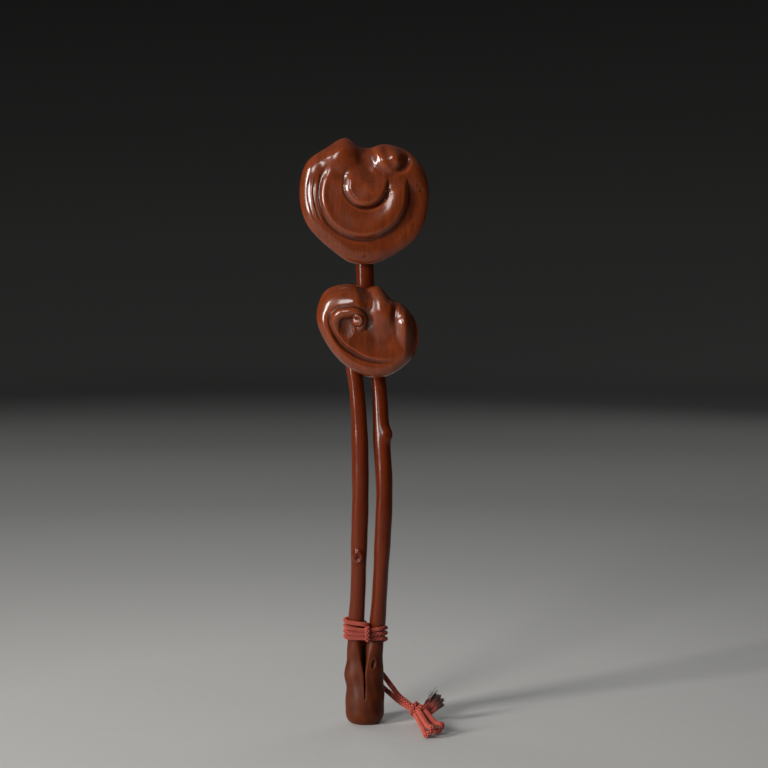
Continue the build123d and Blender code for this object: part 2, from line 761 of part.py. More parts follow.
def loop_route(root, end):
    """Out and back along two strands, one leaning above the other."""
    run = (end - root).normalized()
    lean = Vector(-0.55, 0, 0.83)
    lean = (lean - run * lean.dot(run)).normalized()
    return [
        root + lean * loop_root_spread,
        end + lean * loop_spread,
        end - lean * loop_spread,
        root - lean * loop_root_spread,
    ]


left_loop_route = loop_route(left_loop_root, left_loop_end)
right_loop_route = loop_route(right_loop_root, right_loop_end)
with BuildPart() as left_loop:
    with BuildLine() as left_loop_line:
        FilletPolyline(*left_loop_route, radius=soft_radii(left_loop_route))
    with BuildSketch(Plane(origin=left_loop_line.wire() @ 0, z_dir=left_loop_line.wire() % 0)):
        Circle(cord_radius)
    sweep()
left_loop.part.label = "left_loop"
export_step(left_loop.part, "parts/left_loop.step")
report_cord("left_loop", left_loop.part, left_loop_line.wire(), soft_radii(left_loop_route))

with BuildPart() as right_loop:
    with BuildLine() as right_loop_line:
        FilletPolyline(*right_loop_route, radius=soft_radii(right_loop_route))
    with BuildSketch(Plane(origin=right_loop_line.wire() @ 0, z_dir=right_loop_line.wire() % 0)):
        Circle(cord_radius)
    sweep()
right_loop.part.label = "right_loop"
export_step(right_loop.part, "parts/right_loop.step")
report_cord("right_loop", right_loop.part, right_loop_line.wire(), soft_radii(right_loop_route))

# Frayed ends: splayed tufts that stand out of the tassel's knot
frayed_heading = Vector(0.66, 0.24, 0.71)
frayed_plane = Plane(origin=tassel_middle + frayed_heading * 2.5, z_dir=frayed_heading)
with BuildPart(frayed_plane) as frayed_ends:
    Cone(
        frayed_strand_diameter,
        frayed_strand_diameter * 0.8,
        frayed_strand_length * 0.4,
        align=(Align.CENTER, Align.CENTER, Align.MIN),
    )
    with PolarLocations(frayed_strand_diameter * 0.62, frayed_strand_count):
        Box(
            frayed_strand_diameter * 0.9,
            frayed_strand_diameter * 0.9,
            frayed_strand_length,
            rotation=(0, frayed_splay, 0),
            align=(Align.CENTER, Align.CENTER, Align.MIN),
        )
frayed_ends.part.label = "frayed_ends"
export_step(frayed_ends.part, "parts/frayed_ends.step")

print("hinge at", round(binding_knot_x, 2), round(hinge_y, 2), round(tail_top, 2))
print("upper cap plane", tuple(upper_face.origin))
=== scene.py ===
# %% [markdown]
# # A carved ruyi sceptre, dressed in Blender
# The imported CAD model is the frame. Every piece made here stands in the same place as a CAD
# solid, in metres, so nothing has to be fitted by eye. The lesson goes from the camera to the
# cords, then to the wood: caps, stems and foot.

from collections import namedtuple
from functools import partial
from math import cos, pi, radians, sin

import bmesh
import bpy
import numpy as np
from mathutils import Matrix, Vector


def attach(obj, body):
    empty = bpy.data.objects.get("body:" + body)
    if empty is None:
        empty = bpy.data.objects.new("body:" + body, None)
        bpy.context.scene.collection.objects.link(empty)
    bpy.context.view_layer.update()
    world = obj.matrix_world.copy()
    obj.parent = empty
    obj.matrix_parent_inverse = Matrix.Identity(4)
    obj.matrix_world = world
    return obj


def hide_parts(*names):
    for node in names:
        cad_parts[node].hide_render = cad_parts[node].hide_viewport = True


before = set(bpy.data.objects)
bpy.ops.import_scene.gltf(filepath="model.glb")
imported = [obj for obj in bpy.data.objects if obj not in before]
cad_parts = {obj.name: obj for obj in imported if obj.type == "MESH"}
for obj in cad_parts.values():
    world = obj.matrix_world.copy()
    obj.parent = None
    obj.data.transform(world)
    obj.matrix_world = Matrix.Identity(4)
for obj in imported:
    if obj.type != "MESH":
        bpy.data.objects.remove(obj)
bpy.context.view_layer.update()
MM = 0.001

# %% [markdown]
# ## Camera, light and floor
# The photograph was taken a little above the middle of the object with a long lens, so the
# stems stay almost upright in the picture. Two upright soft boxes stand at the left. They are
# tall, so an upright stem shows them as a long streak and a carved crest as a short bright bar.
# Two wide fills open the right side and the back without highlights of their own, and the
# paper's colour is painted darker away from the object, as a painted falloff of light.

# %% Camera
camera_distance = 1.22
camera_pitch = radians(4.0)
aim = Vector((0.0126, 0.0, 0.222))
photo_pixels, pixels_per_mm = 768, 1.546
frame_width = photo_pixels / pixels_per_mm * MM
sensor = 36.0


def stand(name, data):
    """Object that holds some data, put in the scene at the origin."""
    made = bpy.data.objects.new(name, data)
    bpy.context.collection.objects.link(made)
    return made


def face_along(item, way):
    """Turn a camera or lamp so that it looks along a direction."""
    item.rotation_mode = "QUATERNION"
    item.rotation_quaternion = way.to_track_quat("-Z", "Y")


camera_data = bpy.data.cameras.new("photo_camera")
camera = stand("photo_camera", camera_data)
camera.location = aim + Vector((0, -cos(camera_pitch), sin(camera_pitch))) * camera_distance
look = aim - camera.location
face_along(camera, look)
camera_data.sensor_width = sensor
camera_data.lens = sensor * look.length / frame_width
camera_data.clip_end = 100
bpy.context.scene.camera = camera
print("lens", round(camera_data.lens, 1), "mm")


# %% Lights
def soft_light(name, azimuth, elevation, distance, width, height, power, colour=(1, 1, 1)):
    """Upright soft box that faces the middle of the sceptre."""
    data = bpy.data.lights.new(name, "AREA")
    data.shape = "RECTANGLE"
    data.size, data.size_y = width, height
    data.energy = power
    data.color = colour
    lamp = stand(name, data)
    a, e = radians(azimuth), radians(elevation)
    back = Vector((sin(a) * cos(e), -cos(a) * cos(e), sin(e)))
    lamp.location = Vector((0, 0, 0.2)) + back * distance
    face_along(lamp, -back)
    return lamp


soft_light(
    "key_box", azimuth=-27, elevation=22, distance=2.0, width=0.43, height=0.65, power=12.5,
    colour=(1.0, 0.98, 0.95),
)
soft_light(
    "side_box", azimuth=-56, elevation=13, distance=2.0, width=0.40, height=0.92, power=37.0,
    colour=(1.0, 0.97, 0.93),
)
for name, azimuth, elevation, power in (("right_fill", 152, 26, 7.0), ("back_fill", 215, 32, 10.0)):
    fill = soft_light(name, azimuth, elevation, distance=2.2, width=1.6, height=1.6, power=power)
    fill.visible_glossy = False
world = bpy.data.worlds.new("studio")
bpy.context.scene.world = world
world.use_nodes = True
sky = world.node_tree.nodes["Background"]
sky.inputs["Color"].default_value = (0.85, 0.87, 0.90, 1)
sky.inputs["Strength"].default_value = 0.10
bpy.context.scene.view_settings.view_transform = "Standard"
print("lamps", [lamp.name for lamp in bpy.data.lights])

# %% [markdown]
# ## Writing nodes in a script
# A finish is a small graph of nodes. Linked by hand, each node takes several lines, and the idea
# is lost among them. The helpers below make a node and plug its sockets in one call: a key that
# is one of the node's own settings is set, and any other key is the name of a socket, which takes
# either a plain value or the output of another node.


# %% Node helpers
def plug(tree, value, socket):
    """Link an output to a socket, or write a plain value into it."""
    if isinstance(value, bpy.types.NodeSocket):
        tree.links.new(value, socket)
    else:
        socket.default_value = value


def fit(tree, node, **settings):
    """Set a node's own settings; any other key names a socket that takes an output or a value."""
    for key, value in settings.items():
        if hasattr(node, key):
            setattr(node, key, value)
        else:
            plug(tree, value, node.inputs[key.replace("_", " ")])
    return node


def add(tree, kind, **settings):
    """New node, fitted."""
    return fit(tree, tree.nodes.new(kind), **settings)


# %% Math nodes
def math(tree, operation, *values, kind="ShaderNodeMath", **settings):
    """Math node on outputs or numbers; gives its output."""
    made = add(tree, kind, operation=operation, **settings)
    for socket, value in zip(made.inputs, values):
        plug(tree, value, socket)
    return made.outputs["Value" if operation == "LENGTH" else 0]


def vector_math(tree, operation, *values, **settings):
    """The same on vectors."""
    return math(tree, operation, *values, kind="ShaderNodeVectorMath", **settings)


# %% Pattern and colour nodes
def noise(tree, place, scale, detail):
    """Noise read at a place; gives its strength."""
    return add(tree, "ShaderNodeTexNoise", Vector=place, Scale=scale, Detail=detail).outputs["Fac"]


def spread_out(tree, value, **limits):
    """Map Range node between limits; gives its result."""
    return add(tree, "ShaderNodeMapRange", Value=value, **limits).outputs["Result"]


def blend(tree, share, a, b, way="MIX"):
    """Mix of two colours; gives the mixed colour."""
    made = add(tree, "ShaderNodeMix", data_type="RGBA", blend_type=way, Factor=share, A=a, B=b)
    return made.outputs["Result"]


def ramp(tree, value, *stops):
    """Colour ramp through (place, colour) stops; gives its colour."""
    made = add(tree, "ShaderNodeValToRGB", Fac=value)
    elements = made.color_ramp.elements
    elements[0].position, elements[0].color = stops[0]
    elements[1].position, elements[1].color = stops[-1]
    for place, colour in stops[1:-1]:
        elements.new(place).color = colour
    return made.outputs["Color"]


# %% Material helpers
def attribute(tree, name):
    """What a mesh stores under a name."""
    return add(tree, "ShaderNodeAttribute", attribute_name=name).outputs["Fac"]


def plain_material(name):
    """Material, its tree, its Principled shader and the place of a point on the object."""
    material = bpy.data.materials.new(name)
    material.use_nodes = True
    tree = material.node_tree
    place = add(tree, "ShaderNodeTexCoord").outputs["Object"]
    return material, tree, tree.nodes["Principled BSDF"], place


# %% [markdown]
# ## Paper floor
# The object stands on studio paper that sweeps up behind it, and its colour is painted darker
# away from the object until it is nearly black: a painted falloff of light. A flat plane would
# show its far edge as a hard line, so the paper is a round dish: flat in the middle, a quarter
# circle, then a wall. The falloff is painted into the colour because the lamps alone light the
# paper too evenly.

# %% Paper finish
paper_reach = 4.5
painted_light_falloff = (
    (0.0, 1.0), (0.25, 0.97), (0.6, 0.70), (1.1, 0.43), (1.8, 0.27), (3.3, 0.25), (3.9, 0.16), (4.5, 0.05),
)
floor_material, tree, shader, place = plain_material("pale_paper")
speckle = noise(tree, place, scale=140.0, detail=4.0)
tone = ramp(tree, speckle, (0, (0.58, 0.58, 0.57, 1)), (1, (0.62, 0.62, 0.61, 1)))
# The paper's colour is painted darker with the distance from the object: a painted falloff of light.
away = spread_out(tree, vector_math(tree, "LENGTH", place), From_Max=paper_reach)
shade = ramp(tree, away, *((metres / paper_reach, (s, s, s, 1)) for metres, s in painted_light_falloff))
fit(tree, shader, Base_Color=blend(tree, 1.0, tone, shade, "MULTIPLY"), Roughness=0.85)
print("paper darkens over", paper_reach, "m")


# %% Ring helpers
def smooth(mesh):
    """Smooth shading on every face."""
    mesh.polygons.foreach_set("use_smooth", [True] * len(mesh.polygons))


def full_turn(count):
    """Angles of points spaced evenly round a circle."""
    return np.linspace(0, 2 * pi, count, endpoint=False)


def level_ring(x, y, z):
    """Ring of points at one height."""
    return np.column_stack([x, y, np.full(len(x), z)])


def ring_quads(index):
    """Quads between neighbouring rings of point numbers."""
    turned = np.roll(index, -1, axis=1)
    return np.stack([index[:-1], turned[:-1], turned[1:], index[1:]], axis=-1).reshape(-1, 4).tolist()


def fan(tip, ring):
    """Triangles from one point to a ring of point numbers."""
    return [(tip, int(a), int(b)) for a, b in zip(ring, np.roll(ring, -1))]


# %% Floor
floor_radius, sweep_radius, wall_height, floor_sides = 3.0, 1.4, 3.4, 128
profile = [(floor_radius * i / 6, 0.0) for i in range(1, 7)]
for turn in np.linspace(0, pi / 2, 17)[1:]:
    profile.append((floor_radius + sweep_radius * sin(turn), sweep_radius * (1 - cos(turn))))
profile.append((floor_radius + sweep_radius, wall_height))
angle = full_turn(floor_sides)
rings = [level_ring(reach * np.cos(angle), reach * np.sin(angle), rise) for reach, rise in profile]
points = np.vstack([np.zeros((1, 3)), *rings])
index = 1 + np.arange(len(points) - 1).reshape(-1, floor_sides)
floor_mesh = bpy.data.meshes.new("floor")
floor_mesh.from_pydata(points.tolist(), [], fan(0, index[0]) + ring_quads(index[::-1]))
smooth(floor_mesh)
floor_mesh.materials.append(floor_material)
floor = stand("floor", floor_mesh)
print("floor", len(floor_mesh.polygons), "faces")

# %% [markdown]
# ## Silk
# The cord is dyed silk. Each braided strand is a bundle of fibres that lie along it and catch
# the light as fine lines, so the finish needs to know where a point lies along the strand and
# around it. The geometry stores both as attributes, and one node group turns them into fibres:
# bump, and lighter and darker lines in the colour that are painted sheen. The geometry also
# stores whether a strand passes over or under, and the group paints the strands that pass under,
# and the core between them, darker as painted shade.


# %% Fibre group
def group(name, inputs, outputs):
    """Empty shader group with named sockets; gives the tree, its input node and its output node."""
    made = bpy.data.node_groups.new(name, "ShaderNodeTree")
    for side, sockets in (("INPUT", inputs), ("OUTPUT", outputs)):
        for socket, kind in sockets.items():
            made.interface.new_socket(socket, in_out=side, socket_type=kind)
    return made, add(made, "NodeGroupInput"), add(made, "NodeGroupOutput")


FLOAT, COLOUR, PLACE = "NodeSocketFloat", "NodeSocketColor", "NodeSocketVector"
fibres, given, result = group(
    "silk_fibres",
    {"Along": FLOAT, "Around": FLOAT, "Over": FLOAT, "Fibres": FLOAT, "Twist": FLOAT, "Place": PLACE},
    {"Shade": FLOAT, "Height": FLOAT},
)
take, do = given.outputs, partial(math, fibres)
angle = do("ADD", take["Around"], do("MULTIPLY", take["Along"], take["Twist"]))
wave = do("SINE", do("MULTIPLY", do("MULTIPLY", angle, take["Fibres"]), 2 * pi))
fuzz = noise(fibres, take["Place"], scale=900.0, detail=3.0)
patches = noise(fibres, take["Place"], scale=70.0, detail=2.0)
height = do("ADD", do("MULTIPLY", wave, 0.5), fuzz)
# The fibre wave is bump, and it also goes into the colour as lighter and darker lines: painted sheen along
# the fibres.
shade = do("ADD", do("MULTIPLY", height, 0.30), patches)
# Over lightens the strands that pass over; those that pass under, and the core, which stores no Over, stay
# darker: painted shade in the braid's crevices.
shade = do("ADD", shade, do("MULTIPLY", take["Over"], 0.60))
fit(fibres, result, Shade=do("SUBTRACT", shade, 0.43), Height=height)
print("fibre group", len(fibres.nodes), "nodes")


# %% Silk materials
def silk_material(name, dark, mid, light, fibre_count, tip=None):
    """Dyed silk. With a tip colour, the thread darkens towards its end."""
    material, tree, shader, place = plain_material(name)
    known = {key: attribute(tree, key.lower()) for key in ("Along", "Around", "Over")}
    fibre = add(
        tree, "ShaderNodeGroup", node_tree=fibres, Fibres=fibre_count, Twist=700.0, Place=place, **known
    )
    # Low Shade, on strands that pass under and on the core, takes the dark end of this ramp: painted shade.
    colour = ramp(tree, fibre.outputs["Shade"], (0.28, dark), (0.6, mid), (0.95, light))
    if tip:
        near_tip = spread_out(tree, attribute(tree, "share"), From_Min=0.25, From_Max=0.80)
        colour = blend(tree, near_tip, colour, tip)
    bump = add(tree, "ShaderNodeBump", Strength=0.35, Distance=0.00008, Height=fibre.outputs["Height"])
    fit(
        tree, shader, Base_Color=colour, Normal=bump.outputs["Normal"], Roughness=0.55,
        Sheen_Weight=0.35, Sheen_Roughness=0.4, Sheen_Tint=(1.0, 0.55, 0.45, 1),
    )
    return material


cord_silk = silk_material(
    "braided_silk", (0.085, 0.008, 0.006, 1), (0.385, 0.045, 0.029, 1), (0.640, 0.118, 0.072, 1), 5.0
)
frayed_silk = silk_material(
    "frayed_silk", (0.13, 0.014, 0.010, 1), (0.36, 0.045, 0.030, 1), (0.58, 0.12, 0.08, 1), 2.0,
    tip=(0.030, 0.007, 0.005, 1),
)
print("silk", cord_silk.name, frayed_silk.name)

# %% [markdown]
# ## Braiding with Geometry Nodes
# A round braid is a set of strands that climb round the cord, half of them to the left and half
# to the right, and each passes over and under those it meets. That is a rule, so Geometry Nodes
# can follow it along any path: copy the path once for each strand, then move every copy round
# the path by its own angle. The radius goes up and down once in each two crossings, and the two
# directions take opposite turns, which makes the weave.


# %% Trees and pieces
def geometry_tree(name, inputs):
    """Geometry tree with named inputs; gives the tree, its input and output nodes and its keys."""
    tree = bpy.data.node_groups.new(name, "GeometryNodeTree")
    face = tree.interface
    face.new_socket("Geometry", in_out="INPUT", socket_type="NodeSocketGeometry")
    keys = {}
    for socket, kind in inputs.items():
        keys[socket] = face.new_socket(socket, in_out="INPUT", socket_type=kind).identifier
    face.new_socket("Geometry", in_out="OUTPUT", socket_type="NodeSocketGeometry")
    return tree, add(tree, "NodeGroupInput"), add(tree, "NodeGroupOutput"), keys


def grow(name, source_mesh, tree, keys, values, body):
    """Run a geometry tree on a mesh and keep the result as a plain mesh that rides on a body."""
    source = stand(name + "_path", source_mesh)
    modifier = source.modifiers.new("grow", "NODES")
    modifier.node_group = tree
    for key, value in values.items():
        modifier[keys[key]] = value
    graph = bpy.context.evaluated_depsgraph_get()
    mesh = bpy.data.meshes.new_from_object(source.evaluated_get(graph))
    bpy.data.objects.remove(source)
    mesh.name = name
    piece = stand(name, mesh)
    smooth(mesh)
    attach(piece, body)
    print(name, len(mesh.polygons), "faces")
    return piece


# %% Steps that both trees take
def keep(tree, geometry, name, value):
    """Store a float attribute on the points of a geometry."""
    store = add(
        tree, "GeometryNodeStoreNamedAttribute", data_type="FLOAT", domain="POINT", Name=name,
        Geometry=geometry, Value=value,
    )
    return store.outputs["Geometry"]


def tubes(tree, curves, sides, radius):
    """Closed tubes along curves, which know how far round a point lies."""
    circle = add(tree, "GeometryNodeCurvePrimitiveCircle", mode="RADIUS", Resolution=sides, Radius=radius)
    round_share = add(tree, "GeometryNodeSplineParameter").outputs["Factor"]
    profile = keep(tree, circle.outputs["Curve"], "around", round_share)
    made = add(tree, "GeometryNodeCurveToMesh", Fill_Caps=True, Curve=curves, Profile_Curve=profile)
    return made.outputs["Mesh"]


def moved(tree, geometry, offset):
    """Geometry with its points moved."""
    made = add(tree, "GeometryNodeSetPosition", Geometry=geometry, Offset=offset)
    return made.outputs["Geometry"]


def finish_tree(tree, given, result, *meshes):
    """Every tree ends the same way: real geometry with its material."""
    joined = add(tree, "GeometryNodeJoinGeometry")
    for mesh in meshes:
        fit(tree, joined, Geometry=mesh)
    real = add(tree, "GeometryNodeRealizeInstances", Geometry=joined.outputs["Geometry"])
    paint = add(tree, "GeometryNodeSetMaterial", Geometry=real.outputs["Geometry"])
    fit(tree, paint, Material=given.outputs["Silk"])
    fit(tree, result, Geometry=paint.outputs["Geometry"])


# %% Braid tree
NUMBER, LENGTH, STUFF = "NodeSocketInt", "NodeSocketFloat", "NodeSocketMaterial"
braid, given, result, braid_keys = geometry_tree(
    "round_braid",
    {"Strands": NUMBER, "Braid Radius": LENGTH, "Strand Radius": LENGTH, "Weave": LENGTH,
     "Lay": LENGTH, "Step": LENGTH, "Silk": STUFF},
)
take, do, arrow = given.outputs, partial(math, braid), partial(vector_math, braid)
path = add(braid, "GeometryNodeMeshToCurve", Mesh=take["Geometry"]).outputs["Curve"]
even = add(braid, "GeometryNodeResampleCurve", mode="LENGTH", Curve=path, Length=take["Step"])
even = even.outputs["Curve"]
copies = add(
    braid, "GeometryNodeDuplicateElements", domain="SPLINE", Geometry=even, Amount=take["Strands"]
)
number = copies.outputs["Duplicate Index"]
along = add(braid, "GeometryNodeSplineParameter").outputs["Length"]
side = do("SUBTRACT", 1.0, do("MULTIPLY", do("MODULO", number, 2.0), 2.0))
travel = do("MULTIPLY", do("DIVIDE", along, take["Lay"]), 2 * pi)
pair = do("FLOOR", do("MULTIPLY", number, 0.5))
start = do("MULTIPLY", pair, do("DIVIDE", 4 * pi, take["Strands"]))
angle = do("ADD", do("MULTIPLY", side, travel), start)
half_count = do("MULTIPLY", take["Strands"], 0.5)
crossing = do("MULTIPLY", do("COSINE", do("MULTIPLY", travel, half_count)), side)
reach = do("ADD", take["Braid Radius"], do("MULTIPLY", crossing, take["Weave"]))
normal = add(braid, "GeometryNodeInputNormal").outputs["Normal"]
tangent = add(braid, "GeometryNodeInputTangent").outputs["Tangent"]
across = arrow("CROSS_PRODUCT", tangent, normal)
steps = [
    arrow("SCALE", axis, Scale=do("MULTIPLY", do(function, angle), reach))
    for axis, function in ((normal, "COSINE"), (across, "SINE"))
]
kept = keep(braid, copies.outputs["Geometry"], "along", along)
# Over is 1 where a strand passes over and 0 where it passes under; the finish paints the under parts darker
# as painted shade.
kept = keep(braid, kept, "over", do("ADD", do("MULTIPLY", crossing, 0.5), 0.5))
strands = tubes(braid, moved(braid, kept, arrow("ADD", *steps)), 6, take["Strand Radius"])
# The core stores no Over, so its silk is painted dark as shade between the strands.
core = tubes(braid, even, 5, do("MULTIPLY", take["Braid Radius"], 0.78))
finish_tree(braid, given, result, strands, core)
print("braid tree", len(braid.nodes), "nodes")

# %% [markdown]
# ## The cords' routes
# A cord is one length of something limp, so its line is a smooth NURBS spline. The points lie
# along the route of the CAD tube, and the spline cuts inside their corners as a real cord does. The
# braid follows points read from that spline.


def spline_mesh(name, points):
    """Edges along a NURBS spline whose control points are given in millimetres."""
    curve = bpy.data.curves.new(name, "CURVE")
    curve.dimensions = "3D"
    curve.resolution_u = 24
    spline = curve.splines.new("NURBS")
    spline.points.add(len(points) - 1)
    for control, (x, y, z) in zip(spline.points, points):
        control.co = (x * MM, y * MM, z * MM, 1)
    spline.order_u = 3
    spline.use_endpoint_u = True
    holder = bpy.data.objects.new(name, curve)
    mesh = bpy.data.meshes.new_from_object(holder)
    bpy.data.objects.remove(holder)
    return mesh


def braided(name, node, points, body, size=1.0):
    """Braided cord that stands for a CAD node; gives the piece and the points of its middle line."""
    line = spline_mesh(name, points)
    middle = [tuple(v.co) for v in line.vertices]
    values = {
        "Strands": 8, "Braid Radius": 1.20 * MM * size, "Strand Radius": 0.48 * MM * size,
        "Weave": 0.15 * MM * size, "Lay": 8.4 * MM, "Step": 0.26 * MM, "Silk": cord_silk,
    }
    piece = grow(name, line, braid, braid_keys, values, body)
    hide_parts(node)
    return piece, middle


def line_length(points):
    """Length of a line of points, in metres."""
    return sum((Vector(b) - Vector(a)).length for a, b in zip(points, points[1:]))


# %% [markdown]
# ## Lashing and knots
# Three turns of cord hold both stems where they leave the foot, a short turn between the stems
# draws them tight, and a knot behind takes the ends. A second knot, low beside the foot, gathers
# the tassel. A turn of the lashing repeats, so a loop writes it with its own heights. A knot's
# turns are a coil, which a formula gives.

# %% Binding
left_x, right_x, front_y, back_y = -12.7, 13.8, -7.1, 7.6
binding_route = [
    (2.0, 11.1, 53.6), (2.0, 11.1, 66.4), (left_x, back_y, 67.6), (left_x, front_y, 67.8),
    (-4.0, -7.4, 66.6), (2.6, -5.8, 65.4), (1.4, 7.6, 63.4),
]
for left_z, pinch_y, pinch_z, right_z, next_z in (
    (63.9, -7.2, 61.6, 64.0, 61.0), (60.5, -8.6, 59.3, 60.4, 57.8), (57.2, -7.2, 57.0, 57.0, 53.4),
):
    binding_route += [
        (left_x, back_y, left_z), (left_x, front_y, left_z), (1.9, pinch_y, pinch_z),
        (right_x, front_y, right_z), (right_x, back_y + 0.4, next_z),
    ]
binding_route.append((7.3, 9.0, 50.0))
_, binding_line = braided("binding_wrap", "binding_cord", binding_route, "sceptre", 0.80)
print("binding is", round(1000 * line_length(binding_line), 1), "mm long")

cinch_route = [
    (1.9, -4.0, 63.4), (1.9, -9.8, 63.6), (1.9, -11.7, 61.2), (1.9, -11.7, 58.6), (1.9, -9.8, 56.2),
    (1.9, -4.0, 56.4),
]
braided("binding_cinch_turn", "binding_cinch", cinch_route, "sceptre", 0.96)


# %% Knots
def coil(centre, axis, radius, pitch, turns, start=0.0, per_turn=12):
    """Control points of a coil round an axis, in millimetres."""
    along = Vector(axis).normalized()
    side = along.orthogonal().normalized()
    other = along.cross(side)
    count = int(turns * per_turn)
    points = []
    for i in range(count + 1):
        turn = start + 2 * pi * i / per_turn
        step = pitch * (i / per_turn - turns / 2)
        points.append(Vector(centre) + along * step + (side * cos(turn) + other * sin(turn)) * radius)
    return points


knot_route = coil((2.0, 11.1, 50.7), (1, 0.05, 0.16), radius=2.15, pitch=3.0, turns=2.5)
braided("binding_knot_turns", "binding_knot", knot_route, "sceptre", 0.96)

tassel_middle = Vector((34.8, -1.6, 7.6))
heading = Vector((0.74, -0.42, -0.52)).normalized()
wrap_route = coil(tassel_middle - heading * 0.6, heading, radius=3.5, pitch=3.2, turns=1.9, start=0.6)
wrap_route += [
    (35.0, -5.2, 10.4), (37.8, -5.4, 11.8), (41.0, -4.2, 10.4), (41.8, -1.8, 7.0), (39.2, 0.4, 4.2),
    (35.8, 0.8, 4.2),
]
tassel_knot, _ = braided("tassel_knot_turns", "tassel_knot", wrap_route, "tassel")

# %% [markdown]
# ## Tails and loops
# Two tails come down from the knot behind the stems, pass the foot and enter the tassel's knot.
# Two loops fold out of it towards the camera and lie on the floor. Their points are listed, one
# wherever the cord turns, because nothing repeats in the way that a cord falls.

# %% Tails and loops
upper_tail_route = [
    (3.8, 11.8, 46.4), (4.1, 12.0, 38.0), (10.6, 11.4, 30.675), (16.4, 8.8, 23.6),
    (21.6, 6.4, 16.6), (25.6, 3.0, 14.0), (32.0, 0.8, 9.4),
]
lower_tail_route = [
    (0.2, 11.8, 46.4), (0.0, 12.6, 39.4), (1.0, 13.9, 32.4), (4.5, 15.0, 26.4), (9.8, 14.2, 21.6),
    (16.0, 9.4, 17.4), (22.4, 3.4, 13.0), (26.0, 3.2, 10.6), (31.2, -1.8, 8.6),
]
left_loop_route = [
    (33.2, -4.6, 6.0), (35.2, -15.0, 4.6), (37.8, -28.0, 2.4), (38.9, -35.6, 1.8), (38.8, -40.6, 1.7),
    (40.0, -44.0, 3.0), (42.6, -44.0, 5.8), (43.4, -40.6, 7.0), (42.0, -35.6, 5.8), (40.2, -28.0, 5.0),
    (37.4, -15.0, 7.2), (35.2, -4.6, 8.8),
]
right_loop_route = [
    (36.8, -4.4, 6.0), (39.8, -13.0, 4.6), (43.2, -22.6, 2.4), (44.9, -28.6, 1.8), (45.3, -32.8, 1.7),
    (46.9, -36.0, 3.0), (49.4, -35.4, 5.8), (49.6, -32.2, 7.0), (47.8, -28.2, 5.8), (45.4, -22.2, 5.0),
    (42.0, -12.4, 7.2), (38.8, -4.0, 8.8),
]
for name, route in (
    ("upper_tail", upper_tail_route), ("lower_tail", lower_tail_route),
    ("left_loop", left_loop_route), ("right_loop", right_loop_route),
):
    braided(name + "_cord", name, route, "tassel")

# %% [markdown]
# ## Frayed ends
# Past the knot the braid is undone and its threads stand up in a few dark-tipped clumps. A
# clump is one short middle line that Geometry Nodes copies many times: each copy moves aside by
# its own random amount, with one reach at the root and another at the tip.

# %% Thread tree
fray, given, result, fray_keys = geometry_tree(
    "frayed_threads",
    {"Threads": NUMBER, "Root Spread": LENGTH, "Tip Spread": LENGTH, "Wander": LENGTH,
     "Thread Radius": LENGTH, "Seed": NUMBER, "Silk": STUFF},
)
take, do, arrow = given.outputs, partial(math, fray), partial(vector_math, fray)
path = add(fray, "GeometryNodeMeshToCurve", Mesh=take["Geometry"]).outputs["Curve"]
even = add(fray, "GeometryNodeResampleCurve", mode="COUNT", Curve=path, Count=14).outputs["Curve"]
clump = add(fray, "GeometryNodeCaptureAttribute", domain="CURVE", Geometry=even)
clump.capture_items.new("INT", "clump")
fit(fray, clump, clump=add(fray, "GeometryNodeInputIndex").outputs[0])
copies = add(fray, "GeometryNodeDuplicateElements", domain="SPLINE", Amount=take["Threads"])
fit(fray, copies, Geometry=clump.outputs["Geometry"])
thread = do("ADD", copies.outputs["Duplicate Index"], do("MULTIPLY", clump.outputs["clump"], 997.0))
aside = add(fray, "FunctionNodeRandomValue", data_type="FLOAT_VECTOR", Min=(-1, -1, -1))
fit(fray, aside, ID=thread, Seed=take["Seed"])
share = add(fray, "GeometryNodeSplineParameter").outputs["Factor"]
spread = spread_out(
    fray, do("POWER", share, 1.6), To_Min=take["Root Spread"], To_Max=take["Tip Spread"]
)
push = arrow("SCALE", aside.outputs[0], Scale=spread)
ripple = add(fray, "ShaderNodeTexNoise", noise_dimensions="4D", Scale=260.0, Detail=1.0)
fit(fray, ripple, W=do("MULTIPLY", thread, 0.37))
centred = arrow("SUBTRACT", ripple.outputs["Color"], (0.5, 0.5, 0.5))
sway = arrow("SCALE", centred, Scale=do("MULTIPLY", share, take["Wander"]))
kept = keep(fray, copies.outputs["Geometry"], "share", share)
kept = keep(fray, kept, "over", do("SUBTRACT", 1.0, do("MULTIPLY", share, 0.6)))
kept = keep(fray, kept, "along", add(fray, "GeometryNodeSplineParameter").outputs["Length"])
threads = tubes(fray, moved(fray, kept, arrow("ADD", push, sway)), 4, take["Thread Radius"])
finish_tree(fray, given, result, threads)
print("thread tree", len(fray.nodes), "nodes")


# %% Clumps and wisps
def lines_mesh(name, lines):
    """Loose edge lines through points in millimetres."""
    points, edges = [], []
    for line in lines:
        edges += [(len(points) + i, len(points) + i + 1) for i in range(len(line) - 1)]
        points += [tuple(Vector(p) * MM) for p in line]
    mesh = bpy.data.meshes.new(name)
    mesh.from_pydata(points, edges, [])
    return mesh


def bowed(root, tip, bend):
    """Eight points from root to tip along a line that bows aside by the bend at its middle."""
    shares = np.linspace(0, 1, 8)
    return [root + (Vector(tip) - root) * t + Vector(bend) * 4 * t * (1 - t) for t in shares]


def frayed(name, lines, threads, root_spread, tip_spread, wander, radius, seed):
    """Frayed threads along lines; the spreads, wander and radius are in millimetres."""
    values = {
        "Threads": threads, "Root Spread": root_spread * MM, "Tip Spread": tip_spread * MM,
        "Wander": wander * MM, "Thread Radius": radius * MM, "Seed": seed, "Silk": frayed_silk,
    }
    return grow(name, lines_mesh(name + "_lines", lines), fray, fray_keys, values, "tassel")


